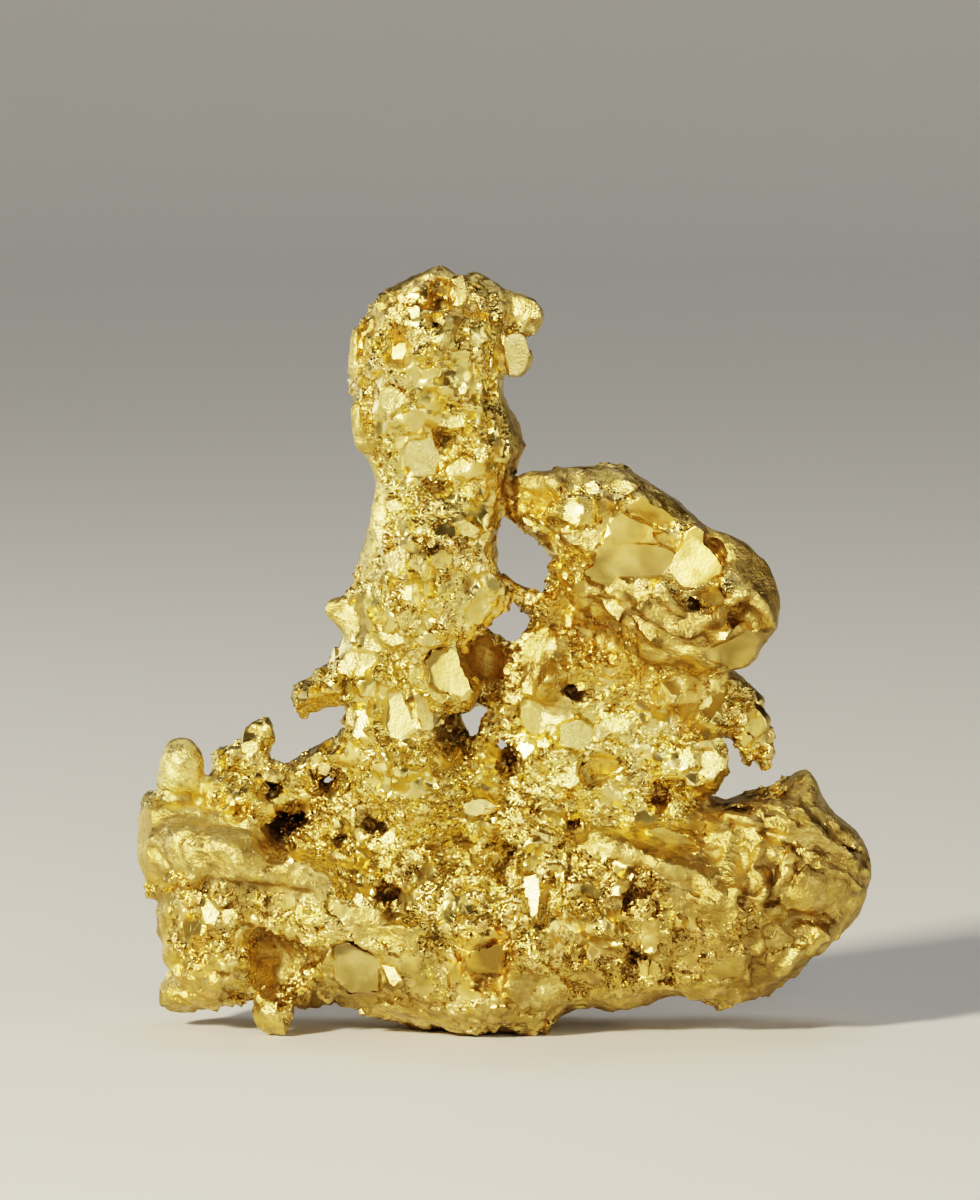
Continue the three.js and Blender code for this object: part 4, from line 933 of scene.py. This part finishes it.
def makeGold(name, look, loose):
    material = bpy.data.materials.new(name)
    material.use_nodes = True
    nodes, links = material.node_tree.nodes, material.node_tree.links

    def node(kind, output, inputs, **settings):
        # a new node, each input linked to another node's output or set to a value
        made = nodes.new("ShaderNode" + kind)
        for key, value in settings.items():
            setattr(made, key, value)
        for key, source in inputs.items():
            if isinstance(source, bpy.types.NodeSocket):
                links.new(source, made.inputs[key])
            else:
                made.inputs[key].default_value = source
        return made.outputs[output]

    place = node("TexCoord", "Object", {})

    def noise(size, detail, spot=place, **more):
        inputs = {"Vector": spot, "Scale": 1 / size, "Detail": detail, **more}
        return node("TexNoise", "Fac", inputs)

    def spread(source, low, high, fromLow=0.3, fromHigh=0.7):
        return node("MapRange", "Result", {"Value": source, "From Min": fromLow,
                                           "From Max": fromHigh, "To Min": low, "To Max": high})

    def blend(amount, first, second, kind="RGBA"):
        return node("Mix", "Result", {"Factor": amount, "A": first, "B": second}, data_type=kind)

    def painted(attribute):
        return node("Attribute", "Fac", {}, attribute_name=attribute)

    def combined(operation, first, second):
        return node("Math", "Value", {0: first, 1: second}, operation=operation)

    def bumped(height, depth, strength, **under):
        return node("Bump", "Normal", {"Height": height, "Distance": depth,
                                       "Strength": strength, **under})

    rough, shine, paintedSheen = painted("rough"), painted("shine"), painted("paintedSheen")
    plain = combined("SUBTRACT", shine, rough)
    smooth, flat = look["smoothRange"], look["plainRange"]

    colour = blend(spread(noise(look["cloud"], 4), 0, 1, *look["cloudRange"]),
                   look["bright"], look["deep"])
    # painted sheen: paler gold where the grains stand in for brighter light
    colour = blend(spread(paintedSheen, 0, look["sheenTint"], 0, 1), colour, look["sheenPale"])
    patches = noise(look["patch"], 3)
    lemon = spread(patches, 0, look["lemonTint"], *look["lemonRange"])
    colour = blend(combined("MULTIPLY", lemon, rough), colour, look["lemon"])
    colour = blend(spread(patches, look["tanTint"], 0, *look["tanRange"]), colour, look["tan"])
    # painted shade in the hollows: olive and less metallic, weaker under the painted sheen
    sunk = combined("MULTIPLY", spread(painted("hollow"), 0, 1, 0.1, 0.8),
                    spread(paintedSheen, 1, look["sheenHollowShade"], 0, 1))
    colour = blend(spread(sunk, 0, look["hollowShadeTint"], 0, 1), colour, look["shadeOlive"])
    # fine olive specks: painted dark reflections, fewer on the flat faces
    reflectionSpecks = spread(noise(look["speck"], 3), 0, look["speckTint"], *look["speckRange"])
    reflectionSpecks = combined("MULTIPLY", reflectionSpecks, spread(plain, 1, 0.1, *flat))
    reflectionSpecks = combined("MULTIPLY", reflectionSpecks, spread(rough, *look["speckShare"], 0.2, 0.8))
    colour = blend(reflectionSpecks, colour, look["shadeOlive"])
    turned = node("Mapping", "Vector", {
        "Vector": place, "Rotation": (0, math.radians(look["streakTurn"]), 0),
        "Scale": look["streakShape"]}, vector_type="TEXTURE")
    streaky = noise(look["streakSize"], 3, turned, Distortion=0.6)
    streaks = spread(streaky, 0, look["streakTint"], *look["streakRange"])
    streaks = combined("MULTIPLY", streaks, spread(shine, 1, 0, *smooth))
    colour = blend(streaks, colour, look["streak"])
    # painted inner reflections in amber and painted shade in umber over the rest
    for paintedLight in ("reflectedAmber", "shadeUmber"):
        colour = blend(painted(paintedLight), colour, look[paintedLight])

    roughness = spread(noise(look["cloud"] / 3, 4), *look["faces"])
    if not loose:
        satin = spread(noise(look["cloud"] / 2, 4), *look["satin"])
        roughness = blend(shine, satin, roughness, "FLOAT")
        roughness = blend(spread(plain, 0, 1, *flat), roughness, look["plain"], "FLOAT")

    lumps = spread(node("TexVoronoi", "Distance", {"Vector": place, "Scale": 1 / look["lump"]}),
                   1, 0, 0, 1)
    strength, depth = look["lumpBump"]
    normal = bumped(lumps, depth, spread(rough, 0.05, strength, 0.2, 0.8))
    for bump, height, where, rest, limits in (
            ("waveBump", noise(look["wave"], 4), shine, 0.06, (0.2, 0.9)),
            ("streakBump", streaky, shine, 0, smooth),
            ("grainBump", noise(look["grain"], 4), plain, 0.06, flat)):
        strength, depth = look[bump]
        normal = bumped(height, depth, spread(where, strength, rest, *limits), Normal=normal)

    shader = nodes["Principled BSDF"]
    for key, source in (("Base Color", colour), ("Roughness", roughness), ("Normal", normal),
                        ("Metallic", spread(sunk, 1, look["hollowShadeMetal"], 0, 1))):
        links.new(source, shader.inputs[key])
    return material


viewLook = {
    "elevation": 5,  # degrees above the floor
    "distance": 320 * mm,
    "aim": (-0.47 * mm, 0, 14.6 * mm),
    "width": 33.2 * mm,  # what the frame spans at the specimen
    "sensor": 36,
}


def makeCamera(look):
    data = bpy.data.cameras.new("camera")
    data.sensor_fit = "HORIZONTAL"
    data.sensor_width = look["sensor"]
    data.lens = look["sensor"] * look["distance"] / look["width"]
    data.clip_start = 0.01
    data.clip_end = 5
    camera = workObject("camera", data)
    tilt = math.radians(look["elevation"])
    back = Vector((0, -math.cos(tilt), math.sin(tilt)))
    camera.location = Vector(look["aim"]) + back * look["distance"]
    camera.rotation_euler = (-back).to_track_quat("-Z", "Y").to_euler()
    scene.camera = camera


studioLook = {
    "flat": 0.5,  # radius in metres of the level floor, and of the bend round it
    "bend": 0.25,
    "bendSteps": 12,
    "turnSteps": 96,
    "paper": (0.72, 0.71, 0.69, 1),
    "paperRoughness": 0.6,
    "air": (0.5, 0.5, 0.5, 1),
    "airStrength": 0.025,
    "lights": [  # name, place and height aimed at in mm, size, power, tint
        ("key", (-175, -205, 150), 12, (42, 42), 1.58, (1, 0.90, 0.67)),
        ("front", (60, -330, 120), 12, (60, 60), 0.15, (1, 0.96, 0.9)),
        ("right", (230, -110, 70), 12, (80, 160), 0.18, (1, 0.95, 0.86)),
        ("top", (140, 420, 1120), 8, (750, 560), 3.05, (1, 1, 1)),
        ("rim", (-170, 120, 60), 12, (40, 120), 0.1, (1, 1, 1)),
    ],
}


def makeLight(name, place, aim, size, power, tint):
    data = bpy.data.lights.new(name, "AREA")
    data.shape = "RECTANGLE"
    data.size, data.size_y = (side * mm for side in size)
    data.energy = power
    data.color = tint
    light = workObject(name, data)
    light.location = Vector(place) * mm
    towards = Vector((0, 0, aim)) * mm - light.location
    light.rotation_euler = towards.to_track_quat("-Z", "Y").to_euler()


def makeStudio(look):
    shape = bmesh.new()
    flat, bend = look["flat"], look["bend"]
    edge = [shape.verts.new((0, 0, 0)), shape.verts.new((flat, 0, 0))]
    for step in range(1, look["bendSteps"] + 1):
        angle = math.radians(90 * step / look["bendSteps"])
        across, height = bend * math.sin(angle), bend - bend * math.cos(angle)
        edge.append(shape.verts.new((flat + across, 0, height)))
    line = [shape.edges.new(pair) for pair in zip(edge, edge[1:])]
    bmesh.ops.spin(shape, geom=edge + line, axis=(0, 0, 1), cent=(0, 0, 0), angle=2 * math.pi,
                   steps=look["turnSteps"], use_merge=True)
    bmesh.ops.remove_doubles(shape, verts=shape.verts, dist=1e-6)
    bmesh.ops.recalc_face_normals(shape, faces=shape.faces)
    mesh = bpy.data.meshes.new("floor")
    shape.to_mesh(mesh)
    shape.free()
    mesh.shade_smooth()
    floor = workObject("floor", mesh)
    paper = bpy.data.materials.new("paper")
    paper.use_nodes = True
    shader = paper.node_tree.nodes["Principled BSDF"]
    shader.inputs["Base Color"].default_value = look["paper"]
    shader.inputs["Roughness"].default_value = look["paperRoughness"]
    mesh.materials.append(paper)

    world = bpy.data.worlds.new("studioAir")
    scene.world = world
    world.use_nodes = True
    air = world.node_tree.nodes["Background"]
    air.inputs["Color"].default_value = look["air"]
    air.inputs["Strength"].default_value = look["airStrength"]
    for light in look["lights"]:
        makeLight(*light)
    scene.view_settings.view_transform = "Filmic"
    scene.view_settings.look = "High Contrast"


makeCamera(viewLook)
makeStudio(studioLook)
print("studio ready")

satinGold = makeGold("satinGold", goldLook, loose=False)
brightGold = makeGold("brightGold", goldLook, loose=True)
goldSkin = makeSkin(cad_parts["gold_crystal"], skinLook)
crystals = makeCrystals(goldSkin.data, crystalLook)
finishPiece(goldSkin, satinGold)
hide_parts("gold_crystal")
for crystal in crystals:
    finishPiece(crystal, brightGold)
print("pieces placed")
